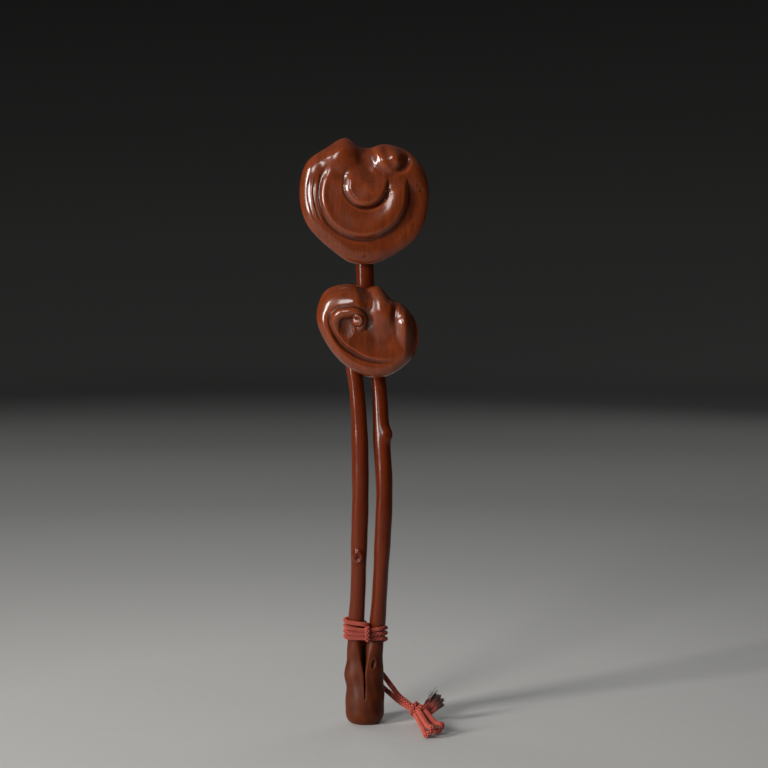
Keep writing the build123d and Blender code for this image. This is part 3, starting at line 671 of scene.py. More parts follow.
tuft_root = Vector((41.0, -1.2, 6.4))
clumps = [
    bowed(tuft_root + Vector(shift), tip, bend)
    for shift, tip, bend in (
        ((-1.2, 0.4, 1.0), (43.0, 0.8, 14.6), (-1.2, 0.2, 0.4)),
        ((-0.4, 0.8, 0.6), (46.4, 2.0, 17.6), (-0.9, 0.3, 0.4)),
        ((0.4, -0.6, 0.4), (49.0, 0.0, 17.6), (-0.3, -0.3, 0.6)),
        ((0.8, 0.2, -0.2), (50.8, -1.2, 15.2), (0.3, -0.2, 0.8)),
        ((1.0, -0.8, -0.8), (50.8, -2.6, 12.4), (0.7, -0.3, 0.6)),
        ((0.2, 0.8, 0.0), (47.4, 1.8, 14.0), (0.2, 0.5, 0.3)),
    )
]
tuft = frayed(
    "frayed_tuft", clumps, threads=52, root_spread=1.15, tip_spread=1.05, wander=1.8, radius=0.16, seed=4
)
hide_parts("frayed_ends")
wisp_tips = ((44.4, 0.4, 20.8), (46.6, 0.8, 21.0), (51.2, -1.2, 14.0))
wisp_lines = [bowed(tuft_root, tip, (-1.2, 0, 1.4)) for tip in wisp_tips]
wisps = frayed(
    "frayed_wisps", wisp_lines, threads=4, root_spread=0.9, tip_spread=1.5, wander=5.0, radius=0.13, seed=11
)

# %% [markdown]
# ## Which cords are free
# The tails and loops are limp on the real object.

# %% [markdown]
# ## Polished wood
# The sceptre is carved from a dense red-brown wood and rubbed to a deep polish. Fine dark lines
# and short pores run up the grain, the tone drifts slowly over the surface, and the polish is
# worn a little duller in places. The colour is darker and the polish duller in the carved hollows,
# and the colour a little lighter on crests, so every wooden mesh made here stores how hollow it is
# at each point. One group makes all the grain.

# %% Grain group
grain, given, result = group(
    "carved_grain",
    {"Place": PLACE, "Hollow": FLOAT, "Line Scale": FLOAT, "Light Wood": COLOUR, "Dark Wood": COLOUR},
    {"Colour": COLOUR, "Roughness": FLOAT, "Height": FLOAT},
)
take, do = given.outputs, partial(math, grain)


def stretched_noise(scale, along, detail, line_scale=1.0):
    """Noise drawn out along the grain, which runs up the sceptre."""
    stretch = (scale, scale, scale * along)
    place = add(grain, "ShaderNodeMapping", Vector=take["Place"], Scale=stretch).outputs["Vector"]
    return noise(grain, place, line_scale, detail)


drift = stretched_noise(55.0, 0.35, 3.0)
bands = stretched_noise(330.0, 0.05, 4.0, take["Line Scale"])
lines = stretched_noise(1500.0, 0.03, 3.0, take["Line Scale"])
pores = stretched_noise(2600.0, 0.06, 1.0, take["Line Scale"])
wear = stretched_noise(120.0, 0.8, 4.0)
pore_mask = spread_out(grain, pores, From_Min=0.64, From_Max=0.74)
darker = do("MULTIPLY", drift, 0.42)
for part, weight in ((bands, 0.38), (lines, 0.40), (take["Hollow"], 0.30), (pore_mask, 0.22)):
    darker = do("ADD", darker, do("MULTIPLY", part, weight))
depth = spread_out(grain, darker, From_Min=0.40, From_Max=0.86)
tint = blend(grain, depth, take["Light Wood"], take["Dark Wood"])
dull = do("ADD", wear, do("MULTIPLY", take["Hollow"], 0.30))
gloss = spread_out(grain, dull, From_Min=0.3, From_Max=0.9, To_Min=0.18, To_Max=0.34)
relief = do("SUBTRACT", do("MULTIPLY", lines, 0.25), pore_mask)
fit(grain, result, Colour=tint, Roughness=gloss, Height=relief)
print("grain group", len(grain.nodes), "nodes")


# %% Wood materials
def wood_material(
    name, light, dark, dullness=0.0, coat=0.45, specular=0.32, coat_rough=0.13, fineness=1.0
):
    """Wood with grain in the colour and pores in the bump; dullness takes the polish away."""
    material, tree, shader, place = plain_material(name)
    wood = add(
        tree, "ShaderNodeGroup", node_tree=grain, Place=place, Hollow=attribute(tree, "hollow"),
        Line_Scale=fineness, Light_Wood=light, Dark_Wood=dark,
    )
    bump = add(tree, "ShaderNodeBump", Strength=0.10, Distance=0.0001, Height=wood.outputs["Height"])
    fit(
        tree, shader, Base_Color=wood.outputs["Colour"], Normal=bump.outputs["Normal"],
        Roughness=math(tree, "ADD", wood.outputs["Roughness"], dullness),
        Coat_Weight=coat, Coat_Roughness=coat_rough, Specular_IOR_Level=specular,
    )
    return material


polished_wood = wood_material("polished_wood", (0.200, 0.0378, 0.0093, 1), (0.060, 0.0111, 0.0037, 1))
stem_wood = wood_material(
    "stem_wood", (0.122, 0.0172, 0.0036, 1), (0.036, 0.0052, 0.0014, 1),
    coat=0.16, specular=0.20, coat_rough=0.17,
)
worn_wood = wood_material(
    "worn_wood", (0.106, 0.0205, 0.0056, 1), (0.029, 0.0070, 0.0026, 1),
    dullness=0.22, coat=0.0, specular=0.15,
)
peg_wood = wood_material("peg_wood", (0.085, 0.016, 0.006, 1), (0.024, 0.005, 0.002, 1), fineness=1.6)
print("woods", polished_wood.name, stem_wood.name, worn_wood.name, peg_wood.name)

# %% [markdown]
# ## Carved caps
# Each cap is a fungus-shaped head, thin at the edge, with its relief cut into the front. The
# outline is a closed line through a few points, and every point of the surface lies at a share
# of the way from the middle to that outline. The front's height is a sum of carved forms, each
# a small function: a dome, a ridge along a path, a step round a disc. Writing the relief this
# way keeps the mesh an even grid with no seams, which polishes like one piece of wood.


# %% Smooth lines and steps
def soft_line(stations, values, at):
    """Smooth line through values at rising stations, read at other places."""
    stations, values, at = (np.asarray(x, float) for x in (stations, values, at))
    slopes = np.gradient(values, stations)
    i = np.clip(np.searchsorted(stations, at, side="right") - 1, 0, len(stations) - 2)
    width = stations[i + 1] - stations[i]
    t = np.clip((at - stations[i]) / width, 0, 1)
    a, b = values[i], values[i + 1]
    rise = (t ** 3 - 2 * t ** 2 + t) * width * slopes[i] + (t ** 3 - t ** 2) * width * slopes[i + 1]
    return (2 * t ** 3 - 3 * t ** 2 + 1) * a + (3 * t ** 2 - 2 * t ** 3) * b + rise


def ease(x):
    """Smooth step from 0 to 1."""
    x = np.clip(x, 0, 1)
    return x * x * (3 - 2 * x)


def window(x, low, high, soft):
    """1 between low and high, with soft ends outside them."""
    return ease((x - low + soft) / soft) * ease((high + soft - x) / soft)


def higher(a, b, soft):
    """The higher of two surfaces with a soft join."""
    return 0.5 * (a + b + np.sqrt((a - b) ** 2 + soft ** 2))


# %% Carved forms
def oval_share(u, v, centre, heading, half_length, half_width):
    """Square of the distance from an oval's middle, 1 on its edge."""
    a = radians(heading)
    du, dv = u - centre[0], v - centre[1]
    along, across = du * cos(a) + dv * sin(a), dv * cos(a) - du * sin(a)
    return (along / half_length) ** 2 + (across / half_width) ** 2


def mound(u, v, centre, heading, half_length, half_width, rise):
    """Low bump that runs out softly all round; its heading is in degrees."""
    return rise * np.clip(1 - oval_share(u, v, centre, heading, half_length, half_width), 0, 1) ** 2


def ridge(u, v, path, power=0.5):
    """Rounded ridge along a path of (u, v, half width, rise)."""
    path = np.array(path, float)
    at = np.linspace(0, len(path) - 1, 14 * len(path))
    pu, pv, half, rise = (soft_line(np.arange(len(path)), path[:, k], at) for k in range(4))
    away = (u[:, None] - pu) ** 2 + (v[:, None] - pv) ** 2
    return (rise * np.clip(1 - away / half ** 2, 0, 1) ** power).max(axis=1)


# %% Outlines and closed meshes
def outline_points(outline, half_width, half_height, count):
    """Points spaced along the closed outline."""
    points = np.array(outline) * (half_width, half_height)
    wrapped = np.vstack([points[-3:], points, points[:3]])
    steps = np.linalg.norm(np.diff(wrapped, axis=0), axis=1) ** 0.7
    stations = np.concatenate([[0], np.cumsum(steps)])
    at = np.linspace(stations[3], stations[3 + len(points)], count, endpoint=False)
    return np.column_stack([soft_line(stations, wrapped[:, k], at) for k in (0, 1)])


def closed_piece(name, rings, material, body, slot, *nodes):
    """Closed mesh over rings of points in metres; the first and last ring shrink to a point."""
    first, last = rings[0].mean(axis=0), rings[-1].mean(axis=0)
    points = np.vstack([first[None], *rings[1:-1], last[None]])
    index = 1 + np.arange(len(points) - 2).reshape(len(rings) - 2, -1)
    faces = fan(0, index[0][::-1]) + ring_quads(index) + fan(len(points) - 1, index[-1])
    mesh = bpy.data.meshes.new(name)
    mesh.from_pydata(points.tolist(), [], faces)
    return wooden(name, mesh, material, body, slot, *nodes)


# %% Hollows and finished pieces
def point_rows(mesh, kind):
    """Every point's place ("co") or normal ("normal"), one row each."""
    rows = np.empty(3 * len(mesh.vertices))
    mesh.vertices.foreach_get(kind, rows)
    return rows.reshape(-1, 3)


def store_hollows(mesh):
    """Store 1 in carved hollows, 0 on flat wood and less on crests, smoothed over about a millimetre."""
    smoothing_rounds, full_bend = 14, 0.10
    spots, facing = point_rows(mesh, "co") / MM, point_rows(mesh, "normal")
    ends = np.empty(2 * len(mesh.edges), int)
    mesh.edges.foreach_get("vertices", ends)
    ends = ends.reshape(-1, 2)
    a, b = np.concatenate([ends, ends[:, ::-1]]).T
    count = np.bincount(a, minlength=len(spots))
    away = spots[b] - spots[a]
    rise = np.bincount(a, (away * facing[a]).sum(axis=1), len(spots))
    bend = rise / np.bincount(a, (away ** 2).sum(axis=1), len(spots))
    for _ in range(smoothing_rounds):
        bend = 0.5 * bend + 0.5 * np.bincount(a, bend[b], len(spots)) / count
    hollow = mesh.attributes.new("hollow", "FLOAT", "POINT")
    hollow.data.foreach_set("value", np.clip(bend / full_bend, -0.6, 1.0))


def wooden(name, mesh, material, body, slot, *nodes):
    """Object of a closed mesh whose faces are turned outwards, standing for CAD nodes."""
    shape = bmesh.new()
    shape.from_mesh(mesh)
    bmesh.ops.recalc_face_normals(shape, faces=shape.faces)
    if shape.calc_volume(signed=True) < 0:
        bmesh.ops.reverse_faces(shape, faces=shape.faces)
    shape.to_mesh(mesh)
    shape.free()
    smooth(mesh)
    store_hollows(mesh)
    mesh.materials.append(material)
    piece = stand(name, mesh)
    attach(piece, body)
    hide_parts(*nodes)
    print(name, len(mesh.polygons), "faces")
    return piece


# %% Cap grid
Boss = namedtuple("Boss", "u v length radius axis")


def cap_rings(outline, half_width, half_height, rim, swell, boss, relief):
    """Rings of (u, v, w) in millimetres from the middle of the front, over the edge, to the back."""
    around = 400
    edge = outline_points(outline, half_width, half_height, around)
    widest, crown_start = 0.32 * rim, 0.80
    flat = np.linspace(0, crown_start, 112)[:-1]
    turn = np.linspace(0, pi / 2, 30)
    front_shares = np.concatenate([flat, crown_start + (1 - crown_start) * np.sin(turn)])
    front_fall = np.concatenate([0 * flat, (1 - np.cos(turn) ** 0.9) * (rim - widest)])
    back_turn = np.linspace(0, pi / 2, 70)[1:]
    back_shares = np.cos(back_turn) ** 0.85
    back_fall = (np.sin(back_turn) ** 1.15) * (widest + swell)
    rings = []
    for share, fall in zip(front_shares, front_fall):
        u, v = (edge * share).T
        held = np.cos(np.arcsin(max(share - crown_start, 0) / (1 - crown_start))) ** 0.6
        w = rim - fall + relief(u, v, np.full(around, share)) * held
        rings.append(np.column_stack([u, v, w]))
    for share, fall in zip(back_shares, back_fall):
        u, v = (edge * share).T
        back = fall - widest
        beyond = np.clip(v - (boss.v + boss.length), 0, None)
        inside = boss.radius ** 2 - (u - boss.u) ** 2 - beyond ** 2
        tube = boss.axis + np.sqrt(np.clip(inside, 0, None))
        present = ease((inside + 4) / 8) * ease((v - boss.v + 0.2) / 0.5)
        back = back + present * (higher(tube, back, 1.2) - back)
        rings.append(np.column_stack([u, v, -back]))
    return rings


# %% Cap place and tool marks
def placed(rings, origin, lean):
    """Rings of a cap moved from its own plane to the sceptre, in metres."""
    a = radians(lean)
    right, up, out = np.array([1, 0, 0]), np.array([0, sin(a), cos(a)]), np.array([0, -cos(a), sin(a)])
    return [
        (np.array(origin) + ring[:, :1] * right + ring[:, 1:2] * up + ring[:, 2:] * out) * MM
        for ring in rings
    ]


def hand_marks(u, v, depth):
    """Slow unevenness that a knife and rubbing leave on carved wood."""
    waves = np.sin(0.21 * u + 0.37 * v + 0.6) + 0.8 * np.sin(0.43 * u - 0.18 * v + 1.9)
    return depth * (waves + 0.5 * np.sin(0.58 * u + 0.49 * v + 0.8 * np.sin(0.3 * u)))


# %% [markdown]
# ## Upper cap
# From its edge inwards the large cap has three beads at the left, a disc that swells into a fat roll
# at the lower right, and a tongue that comes down from the notch and ends in a round lip. A small
# rolled end sits in a hollow at the upper right. Each form has its own function, which works on the
# ground that the last one left, in the order in which a carver would cut them.


# %% Edge of the upper cap
def edge_beads(v, share, bearing):
    """Three beads along the left edge, each with a groove at its inner side."""
    cap_reach, bead_width, top_end = 41.5, 3.55, 0.8
    from_edge = (1 - share) * cap_reach
    bead = (from_edge - 2.1 + 0.3 * np.sin(0.22 * v)) / bead_width
    part = np.clip(bead - np.floor(bead), 0, 1)
    climb = np.zeros_like(v)
    teeth = ((0.0, 0.15, 0.50), (-0.35, 0.55, 0.65), (-0.45, 1.10, 0.65))
    for number, (start, rise, drop) in enumerate(teeth):
        tooth = start + rise * np.minimum(part / top_end, 1) - drop * np.clip((part - top_end) / 0.2, 0, 1)
        climb = np.where(np.floor(bead) == number, tooth, climb)
    return window(bearing, 174, 198, 18) * climb


def raise_banks(ground, u, v):
    """Hump left of the notch and bank at its right."""
    ground += mound(u, v, (-15.0, 28.6), 66, 17.0, 13.0, 3.0)
    ground += ridge(u, v, [
        (8.0, 35.0, 4.0, 0.8), (9.6, 29.5, 5.5, 1.8), (11.6, 24.6, 6.0, 2.0), (14.6, 20.6, 6.0, 0.9),
    ], 2)


# %% Disc and tongue
def cut_disc(ground, du, dv, reach, bearing):
    """Disc: its edge stands up at the left, and it swells into a fat roll at the lower right."""
    disc_radius, groove_radius = 28.8, 29.6
    lower_half = window((bearing - 60) % 360, 102, 300, 24)
    inside = ease((disc_radius - reach) / 3.2)
    to_roll = ease(du / 20)
    groove_side = np.where(reach > groove_radius, 1.3 + 8.0 * to_roll, 1.3)
    ground -= lower_half * np.exp(-((reach - groove_radius) / groove_side) ** 2) * (0.8 + 0.5 * to_roll)
    ground += lower_half * inside * (1.0 + 0.7 * ease((du - dv + 10) / 40))
    ground += 0.4 * window(bearing, 172, 200, 26) * np.exp(-((reach - 25.8) / 2.2) ** 2)
    turn = (bearing - 200) % 360
    swell = ease((turn - 20) / 120) * ease((192 - turn) / 42)
    inner = ease((reach - 8.5) / 13.0)
    outer = np.sqrt(np.clip(1 - (np.clip(reach - 20.5, 0, None) / 8.6) ** 2, 0, 1))
    ground -= swell * (2.8 * (1 - inner) + 2.6 * (1 - outer))


def raise_tongue(ground, u, v):
    """Tongue: it comes down from the notch and ends in a round lip over the disc."""
    lip_u, lip_v, lip_radius = 1.3, 9.1, 14.1
    tu, tv = u - lip_u, v - lip_v
    from_lip = lip_radius - np.hypot(tu, np.where(tv > 0, 0.42 * tv, tv))
    to_right = ease((tu - 0.9 * tv + 6) / 16)
    edge = 4.6 - 0.8 * to_right
    lip = 1 - np.clip(1 - from_lip / edge, 0, 1) ** (1.6 + 0.8 * to_right)
    stays = ease((26 - 9 * ease((tu + 6) / 12) - v) / 14)
    level = 4.0 + 0.7 * to_right - 2.6 * ease((v - 6) / 24)
    ground += np.clip(level - ground, 0, None) * lip * stays * (from_lip > 0)
    shade = window(np.degrees(np.arctan2(tv, tu)) % 360, 268, 345, 25)
    ground -= (0.35 + 1.0 * shade) * np.exp(-((from_lip + 0.6) / 0.8) ** 2) * ease((14 - v) / 14)
    ground -= mound(u, v, (1.0, 33.0), 90, 20.0, 8.5, 1.6)


# %% Rolled end and nicks
def raise_rolled_end(ground, u, v):
    """Rolled end in its hollow at the upper right."""
    ground += mound(u, v, (16.0, 24.5), -54, 10.0, 7.0, 1.6)
    ground -= ridge(u, v, [
        (23.4, 32.0, 4.0, 0.2), (25.6, 28.6, 4.4, 1.4), (26.4, 25.0, 4.6, 2.8), (25.4, 21.8, 4.2, 2.6),
        (22.6, 20.0, 3.2, 0.6),
    ], 1.6)
    ground += mound(u, v, (20.4, 28.0), -54, 11.0, 7.4, 3.4)


def cut_nicks(ground, u, v):
    """Small old nicks, mostly at the right and at the bottom."""
    for centre, size, depth in (
        ((36.6, 6.6), 1.2, 0.6), ((34.4, 10.2), 0.9, 0.5), ((0.5, -36.0), 1.4, 0.5),
        ((21.9, -23.5), 0.6, 0.35), ((27.5, -18.9), 0.6, 0.35),
    ):
        ground -= mound(u, v, centre, 30, size * 1.6, size, depth)


# %% Upper cap
def upper_relief(u, v, share):
    """Height of the upper cap's front above its rim, in millimetres."""
    disc_v = 3.8
    du, dv = u, v - disc_v
    reach, bearing = np.hypot(du, dv), np.degrees(np.arctan2(dv, du)) % 360
    held_up = 0.8 * window(bearing, 118, 152, 20)
    ground = 1.0 - 2.6 * share ** 3 * (1 - held_up) + hand_marks(u, v, 0.035)
    ground += edge_beads(v, share, bearing)
    raise_banks(ground, u, v)
    cut_disc(ground, du, dv, reach, bearing)
    raise_tongue(ground, u, v)
    raise_rolled_end(ground, u, v)
    cut_nicks(ground, u, v)
    return ground


upper_outline = [
    (-0.29, 1.00), (0.01, 0.84), (0.33, 0.90), (0.67, 0.79), (0.92, 0.50), (1.00, 0.04),
    (0.83, -0.55), (0.33, -0.92), (0.06, -1.00), (-0.21, -0.97), (-0.43, -0.83),
    (-0.90, -0.34), (-1.00, 0.15), (-0.89, 0.61), (-0.59, 0.84),
]
upper_rings = cap_rings(
    upper_outline, half_width=41.6, half_height=40.8, rim=9.5, swell=6.0,
    boss=Boss(u=0.0, v=-38.0, length=30.0, radius=6.4, axis=7.1), relief=upper_relief,
)
closed_piece(
    "upper_cap_carving", placed(upper_rings, (-0.2, 5.239, 339.619), 5.0), polished_wood,
    "sceptre", "wood", "upper_cap",
)

# %% [markdown]
# ## Lower cap
# The small cap has a broad rim band with a groove inside it, three swellings along its upper edge,
# and a curl that rises at the left, turns over and ends round a ball. Beside the ball lies a pit
# that the gouge left rough. The forms are cut one after the other, as on the upper cap.


# %% Rim and upper edge
def cut_rim_band(ground, u, v):
    """Rim band with a groove inside it, which runs out at the lower right."""
    ground += ridge(u, v, [
        (-29.0, 9.0, 5.0, 0.4), (-28.2, 2.0, 5.5, 0.8), (-25.0, -6.0, 5.5, 0.9), (-19.5, -13.5, 5.5, 0.9),
        (-11.5, -19.6, 5.5, 0.9), (-2.5, -23.4, 5.0, 0.7), (7.0, -25.0, 4.5, 0.3),
    ], 2)
    ground -= ridge(u, v, [
        (-24.2, 11.0, 1.6, 0.2), (-23.6, 5.0, 2.0, 1.0), (-20.8, -2.6, 2.3, 1.5), (-15.6, -9.6, 2.4, 1.6),
        (-8.4, -14.7, 2.4, 1.6), (-1.2, -18.2, 2.3, 1.3), (7.4, -20.0, 2.2, 0.8), (16.0, -19.4, 2.0, 0.1),
    ], 1.6)


def raise_upper_edge(ground, u, v):
    """Pillow, lobe and ear along the upper edge, with a crease before the ear."""
    ground += ridge(u, v, [
        (-26.5, 9.5, 8.0, 0.1), (-22.0, 14.0, 10.0, 1.3), (-17.0, 16.8, 12.0, 2.5), (-12.0, 18.0, 12.5, 3.6),
        (-7.5, 18.4, 11.0, 4.4), (-4.5, 18.2, 8.5, 3.6),
    ], 1.6)
    ground += mound(u, v, (10.8, 15.0), 84, 25.0, 11.8, 3.5)
    ground -= ridge(u, v, [
        (18.4, 20.0, 3.0, 0.6), (17.4, 14.5, 3.2, 1.0), (16.4, 8.4, 3.0, 0.5), (15.6, 3.5, 2.8, 0.1),
    ], 2)
    ground += ridge(u, v, [
        (20.6, 18.0, 4.5, 0.4), (22.4, 14.6, 6.0, 1.4), (23.8, 10.0, 7.2, 2.7), (24.4, 5.0, 7.6, 3.7),
        (24.6, 0.0, 7.2, 2.9), (24.4, -7.0, 6.0, 0.5),
    ], 2)


# %% Pit and curl
def cut_pit(ground, u, v):
    """Pit left of the ball, rough from the gouge, and the shadowed drop right of the curl."""
    pit = np.clip(1 - oval_share(u, v, (-13.4, 2.0), 105, 7.0, 5.2), 0, 1)
    grit = np.sin(4.1 * u + 1.3 * v) * np.sin(3.7 * v - 1.1 * u) + 0.7 * np.sin(6.3 * u) * np.sin(5.9 * v)
    ground -= 1.4 * pit ** 1.6 - 0.14 * ease(3 * pit) * grit
    ground -= mound(u, v, (0.6, 5.4), 82, 7.0, 4.6, 0.8)


def raise_curl(ground, u, v):
    """Curl that rises from the left, turns over the top and ends round a ball."""
    ground += ridge(u, v, [
        (-20.6, -3.0, 2.8, 0.2), (-21.0, 3.4, 3.6, 1.2), (-20.0, 8.0, 4.0, 2.4), (-16.8, 10.6, 4.2, 3.0),
        (-12.2, 11.4, 4.0, 3.2), (-7.8, 11.4, 3.6, 3.4), (-3.8, 9.8, 3.2, 3.6), (-2.2, 6.6, 3.0, 3.5),
        (-3.0, 3.4, 2.6, 2.6), (-5.0, 1.4, 2.0, 1.0),
    ], 1.0)
    # The ball's top is tilted, so that it catches the lamp
    ball_u, ball_v, ball_radius = -6.3, 6.4, 4.1
    ball = np.clip(1 - oval_share(u, v, (ball_u, ball_v), 0, ball_radius, ball_radius) ** 2, 0, 1)
    ground += ball * (3.4 + 0.24 * (u - ball_u) - 0.25 * (v - ball_v))


# %% Lower cap
def lower_relief(u, v, share):
    """Height of the lower cap's front above its rim, in millimetres."""
    ground = 2.4 - 3.0 * share ** 3 + hand_marks(u + 9, v - 4, 0.035)
    cut_rim_band(ground, u, v)
    # Broad hollow, and the right side that turns away steeply past the ear
    ground -= mound(u, v, (3.0, -4.0), 0, 25.0, 17.0, 1.9)
    ground -= 5.6 * ease((u - 23.4) / 8.8) * window(v, -13, 9, 14)
    raise_upper_edge(ground, u, v)
    # Notch in the upper edge, with the crease below it
    ground -= mound(u, v, (-1.6, 28.5), 87, 17.0, 6.0, 2.0)
    cut_pit(ground, u, v)
    raise_curl(ground, u, v)
    return ground


lower_outline = [
    (-1.00, 0.32), (-0.81, 0.87), (-0.30, 1.00), (-0.06, 0.91), (0.20, 0.96), (0.48, 0.67),
    (0.67, 0.58), (0.96, 0.15), (0.94, -0.45), (0.46, -0.93), (0.14, -1.00), (-0.34, -0.81),
    (-0.77, -0.33),
]
lower_rings = cap_rings(
    lower_outline, half_width=32.8, half_height=30.1, rim=8.5, swell=4.5,
    boss=Boss(u=-9.0, v=-23.5, length=19.0, radius=6.4, axis=7.1), relief=lower_relief,
)
closed_piece(
    "lower_cap_carving", placed(lower_rings, (2.0, -3.5, 256.5), 3.0), polished_wood,
    "sceptre", "wood", "lower_cap",
)

# %% [markdown]
# ## Stems
# The stems are bowed like grown wood: round, never quite straight, with a branch scar on the
# left one and a knot on the right one. A grid of rings along a smooth middle line takes all of
# that, because each ring can have its own place and swelling.


# %% Stem maker
def stem(name, node, base, top, radius, bows, marks, top_radius):
    """Closed tube from inside the foot into the cap's socket."""
    base, top = np.array(base), np.array(top)
    table = np.array([(0.0, 0.0, 0.0, 0.0), *bows, (1.0, 0.0, 0.0, top_radius - radius)])
    shares = np.concatenate([[-0.02], np.linspace(-0.02, 1.03, 520), [1.03]])
    right, back, extra = (soft_line(table[:, 0], table[:, k], shares) for k in (1, 2, 3))
    angle = full_turn(72)
    rings = []
    for share, r, b, e in zip(shares, right, back, extra):
        middle = base + (top - base) * share + np.array([r, b, 0])
        z = middle[2]
        uneven = 0.14 * np.sin(2 * angle + 0.05 * z) + 0.10 * np.sin(3 * angle - 0.083 * z + 1)
        uneven += 0.12 * np.sin(0.11 * z + 0.7) + 0.07 * np.sin(0.27 * z + 2)
        swelling = radius + e + uneven
        for mark_z, mark_angle, mark in marks:
            turn = (angle - mark_angle + pi) % (2 * pi) - pi
            swelling = swelling + mark(turn * radius, z - mark_z)
        x, y = middle[0] + swelling * np.cos(angle), middle[1] + swelling * np.sin(angle)
        rings.append(level_ring(x, y, z) * MM)
    return closed_piece(name, rings, stem_wood, "sceptre", "wood", node)


# %% Marks on the stems
def scar(across, up):
    """Ring of bark that grew round a cut twig."""
    reach = np.hypot(across / 3.0, up / 4.0)
    return 0.85 * np.exp(-((reach - 0.80) / 0.36) ** 2) - 0.15 * np.exp(-(reach / 0.5) ** 2)


def knob(across, up):
    """Round knot that stands out at one side, with a dimple in it."""
    dimple = 0.7 * np.exp(-((across + 1.6) / 1.2) ** 2 - (up / 1.4) ** 2)
    return 2.2 * np.exp(-(across / 4.0) ** 2 - (up / 4.6) ** 2) - dimple


# %% Stems
short_bows = [
    (0.13, 1.8, -1.4, 0.0), (0.35, 3.1, -2.5, 0.1), (0.56, 3.9, -3.2, 0.2), (0.77, 3.5, -2.8, 0.1),
    (0.93, 1.6, -1.2, 0.0),
]
stem(
    "short_stem_shaft", "short_stem", base=(-6.2, 0, 61.0), top=(-7.0, 2.36, 232.66), radius=5.2,
    bows=short_bows, marks=[(110.0, radians(262), scar)], top_radius=5.2,
)
long_bows = [
    (0.10, 2.6, -1.8, 0.0), (0.24, 5.7, -3.6, 0.1), (0.40, 8.0, -4.6, 0.2), (0.52, 7.4, -3.2, 0.2),
    (0.66, 6.7, 0.6, 0.0), (0.79, 3.7, 1.8, 0.0), (0.92, 0.3, 0.6, 0.4),
]
stem(
    "long_stem_shaft", "long_stem", base=(7.9, 0, 61.0), top=(-0.2, 9.0, 301.14), radius=5.2,
    bows=long_bows, marks=[(189.5, radians(-30), knob)], top_radius=5.6,
)

# %% [markdown]
# ## Foot
# The foot is one root that splits into two prongs with a narrow slit between them. Each half is
# an oval cut flat along the slit, and below the slit the halves overlap. Thin wood closes the
# slit behind, so it looks dark from the front. A voxel remesh joins them into one skin, a smooth
# rounds the slit's edges, and moving points along their normals adds the carved eye.


# %% Foot sizes at each height
heights = np.linspace(0, 61.2, 230)
left_side = soft_line(
    (0, 8, 12, 15, 17.5, 20.5, 24.5, 28, 32, 35.5, 40, 46, 53, 61.2),
    (-12.7, -12.7, -12.7, -12.5, -12.2, -11.9, -12.1, -12.8, -13.1, -12.8, -12.0, -11.5, -11.3, -11.35),
    heights,
)
right_side = soft_line(
    (0, 8, 12, 17.5, 24.5, 31, 36, 42, 48, 54, 61.2),
    (12.6, 12.7, 12.75, 12.7, 12.4, 12.1, 12.0, 11.9, 11.9, 12.3, 13.05), heights,
)
half_depth = soft_line(
    (0, 10, 14, 17.5, 20.5, 24.5, 28, 32, 36, 42, 48, 54, 61.2),
    (12.2, 12.3, 12.0, 11.3, 10.5, 9.5, 8.8, 8.1, 7.4, 6.5, 5.9, 5.4, 5.15), heights,
)
slit = soft_line(
    (0, 13, 15, 16.5, 18, 21, 25, 31, 36, 40, 46, 51, 56, 61.2),
    (-3.0, -3.0, -1.0, 0.1, 0.65, 0.80, 0.90, 1.0, 1.1, 1.4, 2.0, 2.4, 3.2, 3.8), heights,
)
slit_middle = soft_line((0, 20, 31, 46, 53, 61.2), (0.3, 0.3, 0.0, -0.3, 0.1, 0.85), heights)
lower_edge = soft_line(
    (0, 0.25, 1.0, 2.4, 4.5, 7.5, 10, 61.2), (0.62, 0.70, 0.80, 0.89, 0.955, 0.995, 1.0, 1.0), heights
)
round_share = ease((heights - 30) / 30)
print("foot", round(right_side.max() - left_side.min(), 1), "mm wide")


# %% Prongs and slit
def prong(side):
    """Rings of the left (-1) or right (1) half: a split oval below that grows round towards the top."""
    angle = full_turn(120)
    rings = []
    for z, a, b, deep, gap, middle, edge, soft in zip(
        heights, left_side, right_side, half_depth, slit, slit_middle, lower_edge, round_share
    ):
        x = (a + b) / 2 + (b - a) / 2 * edge * np.cos(angle)
        y = deep * edge * np.sin(angle)
        valley = 3.0 * ease((z - 16) / 6) * ease((54 - z) / 8) * ease(y / 6)
        cut = middle + side * (gap / 2 + valley)
        x = np.minimum(x, cut) if side < 0 else np.maximum(x, cut)
        outer = a if side < 0 else b
        inner = middle + side * gap / 2
        oval = (outer + inner) / 2 + abs(outer - inner) / 2 * np.cos(angle)
        x = x + soft * (oval - x)
        rings.append(level_ring(x, y, z) * MM)
    return rings


def slit_back():
    """Rings of the thin wood that closes the slit behind, set well back from the front."""
    angle = full_turn(48)
    x, y = 0.2 + 3.6 * np.cos(angle), 3.4 + 1.8 * np.sin(angle)
    return [level_ring(x, y, z) * MM for z in np.linspace(10, 50, 40)]


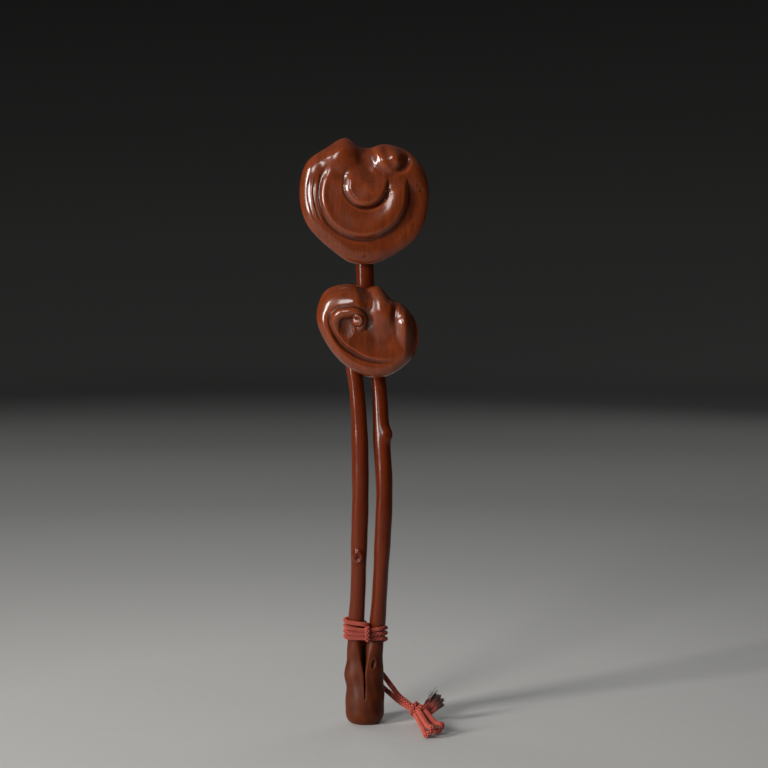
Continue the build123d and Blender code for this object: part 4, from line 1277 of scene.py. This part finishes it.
# %% One skin
def ring_mesh(rings, base):
    """Points and faces of a closed tube, counted from base."""
    points = np.vstack(rings)
    index = base + np.arange(len(points)).reshape(len(rings), -1)
    return points.tolist(), ring_quads(index) + [index[0][::-1].tolist(), index[-1].tolist()]


points, faces = [], []
for rings in (prong(-1), prong(1), slit_back()):
    more_points, more_faces = ring_mesh(rings, len(points))
    points += more_points
    faces += more_faces
rough_mesh = bpy.data.meshes.new("foot_rough")
rough_mesh.from_pydata(points, [], faces)
rough = stand("foot_rough", rough_mesh)
remesh = rough.modifiers.new("one_skin", "REMESH")
remesh.mode = "VOXEL"
remesh.voxel_size = 0.30 * MM
soften = rough.modifiers.new("soften", "SMOOTH")
soften.factor, soften.iterations = 0.5, 8
foot_mesh = bpy.data.meshes.new_from_object(
    rough.evaluated_get(bpy.context.evaluated_depsgraph_get())
)
bpy.data.objects.remove(rough)
print("foot skin", len(foot_mesh.polygons), "faces")

# %% Carve the foot
skin, turned_out = point_rows(foot_mesh, "co") / MM, point_rows(foot_mesh, "normal")
x, y, z = skin.T
front = ease(-turned_out[:, 1] * 2)
eye = np.sqrt(oval_share(x, z, (5.8, 39.8), 80, 3.4, 1.6))
move = front * (0.15 * np.exp(-((eye - 1.15) / 0.3) ** 2) - 0.7 * ease((1.05 - eye) / 0.8))
ripples = 0.16 * np.sin(0.42 * z + 0.5 * np.sin(0.4 * x))
move += ripples + 0.10 * np.sin(0.9 * x + 0.3 * z) * np.sin(0.5 * y)
move *= ease(z / 5) * ease((60.5 - z) / 6)
skin += turned_out * move[:, None]
skin[:, 2] = np.maximum(skin[:, 2], 0)
foot_mesh.vertices.foreach_set("co", (skin * MM).ravel())
foot_mesh.update()
wooden("root_foot_carving", foot_mesh, worn_wood, "sceptre", "wood", "root_foot")

# %% [markdown]
# ## Pegs
# Two small pegs lock the stems in the caps from behind. They are plain turned pins, so the CAD
# solids stay and only get their own darker wood.

# %% Pegs
for name in ("upper_cap_peg", "lower_cap_peg"):
    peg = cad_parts[name]
    peg.data.materials.clear()
    peg.data.materials.append(peg_wood)
    print(name, "keeps its CAD shape")
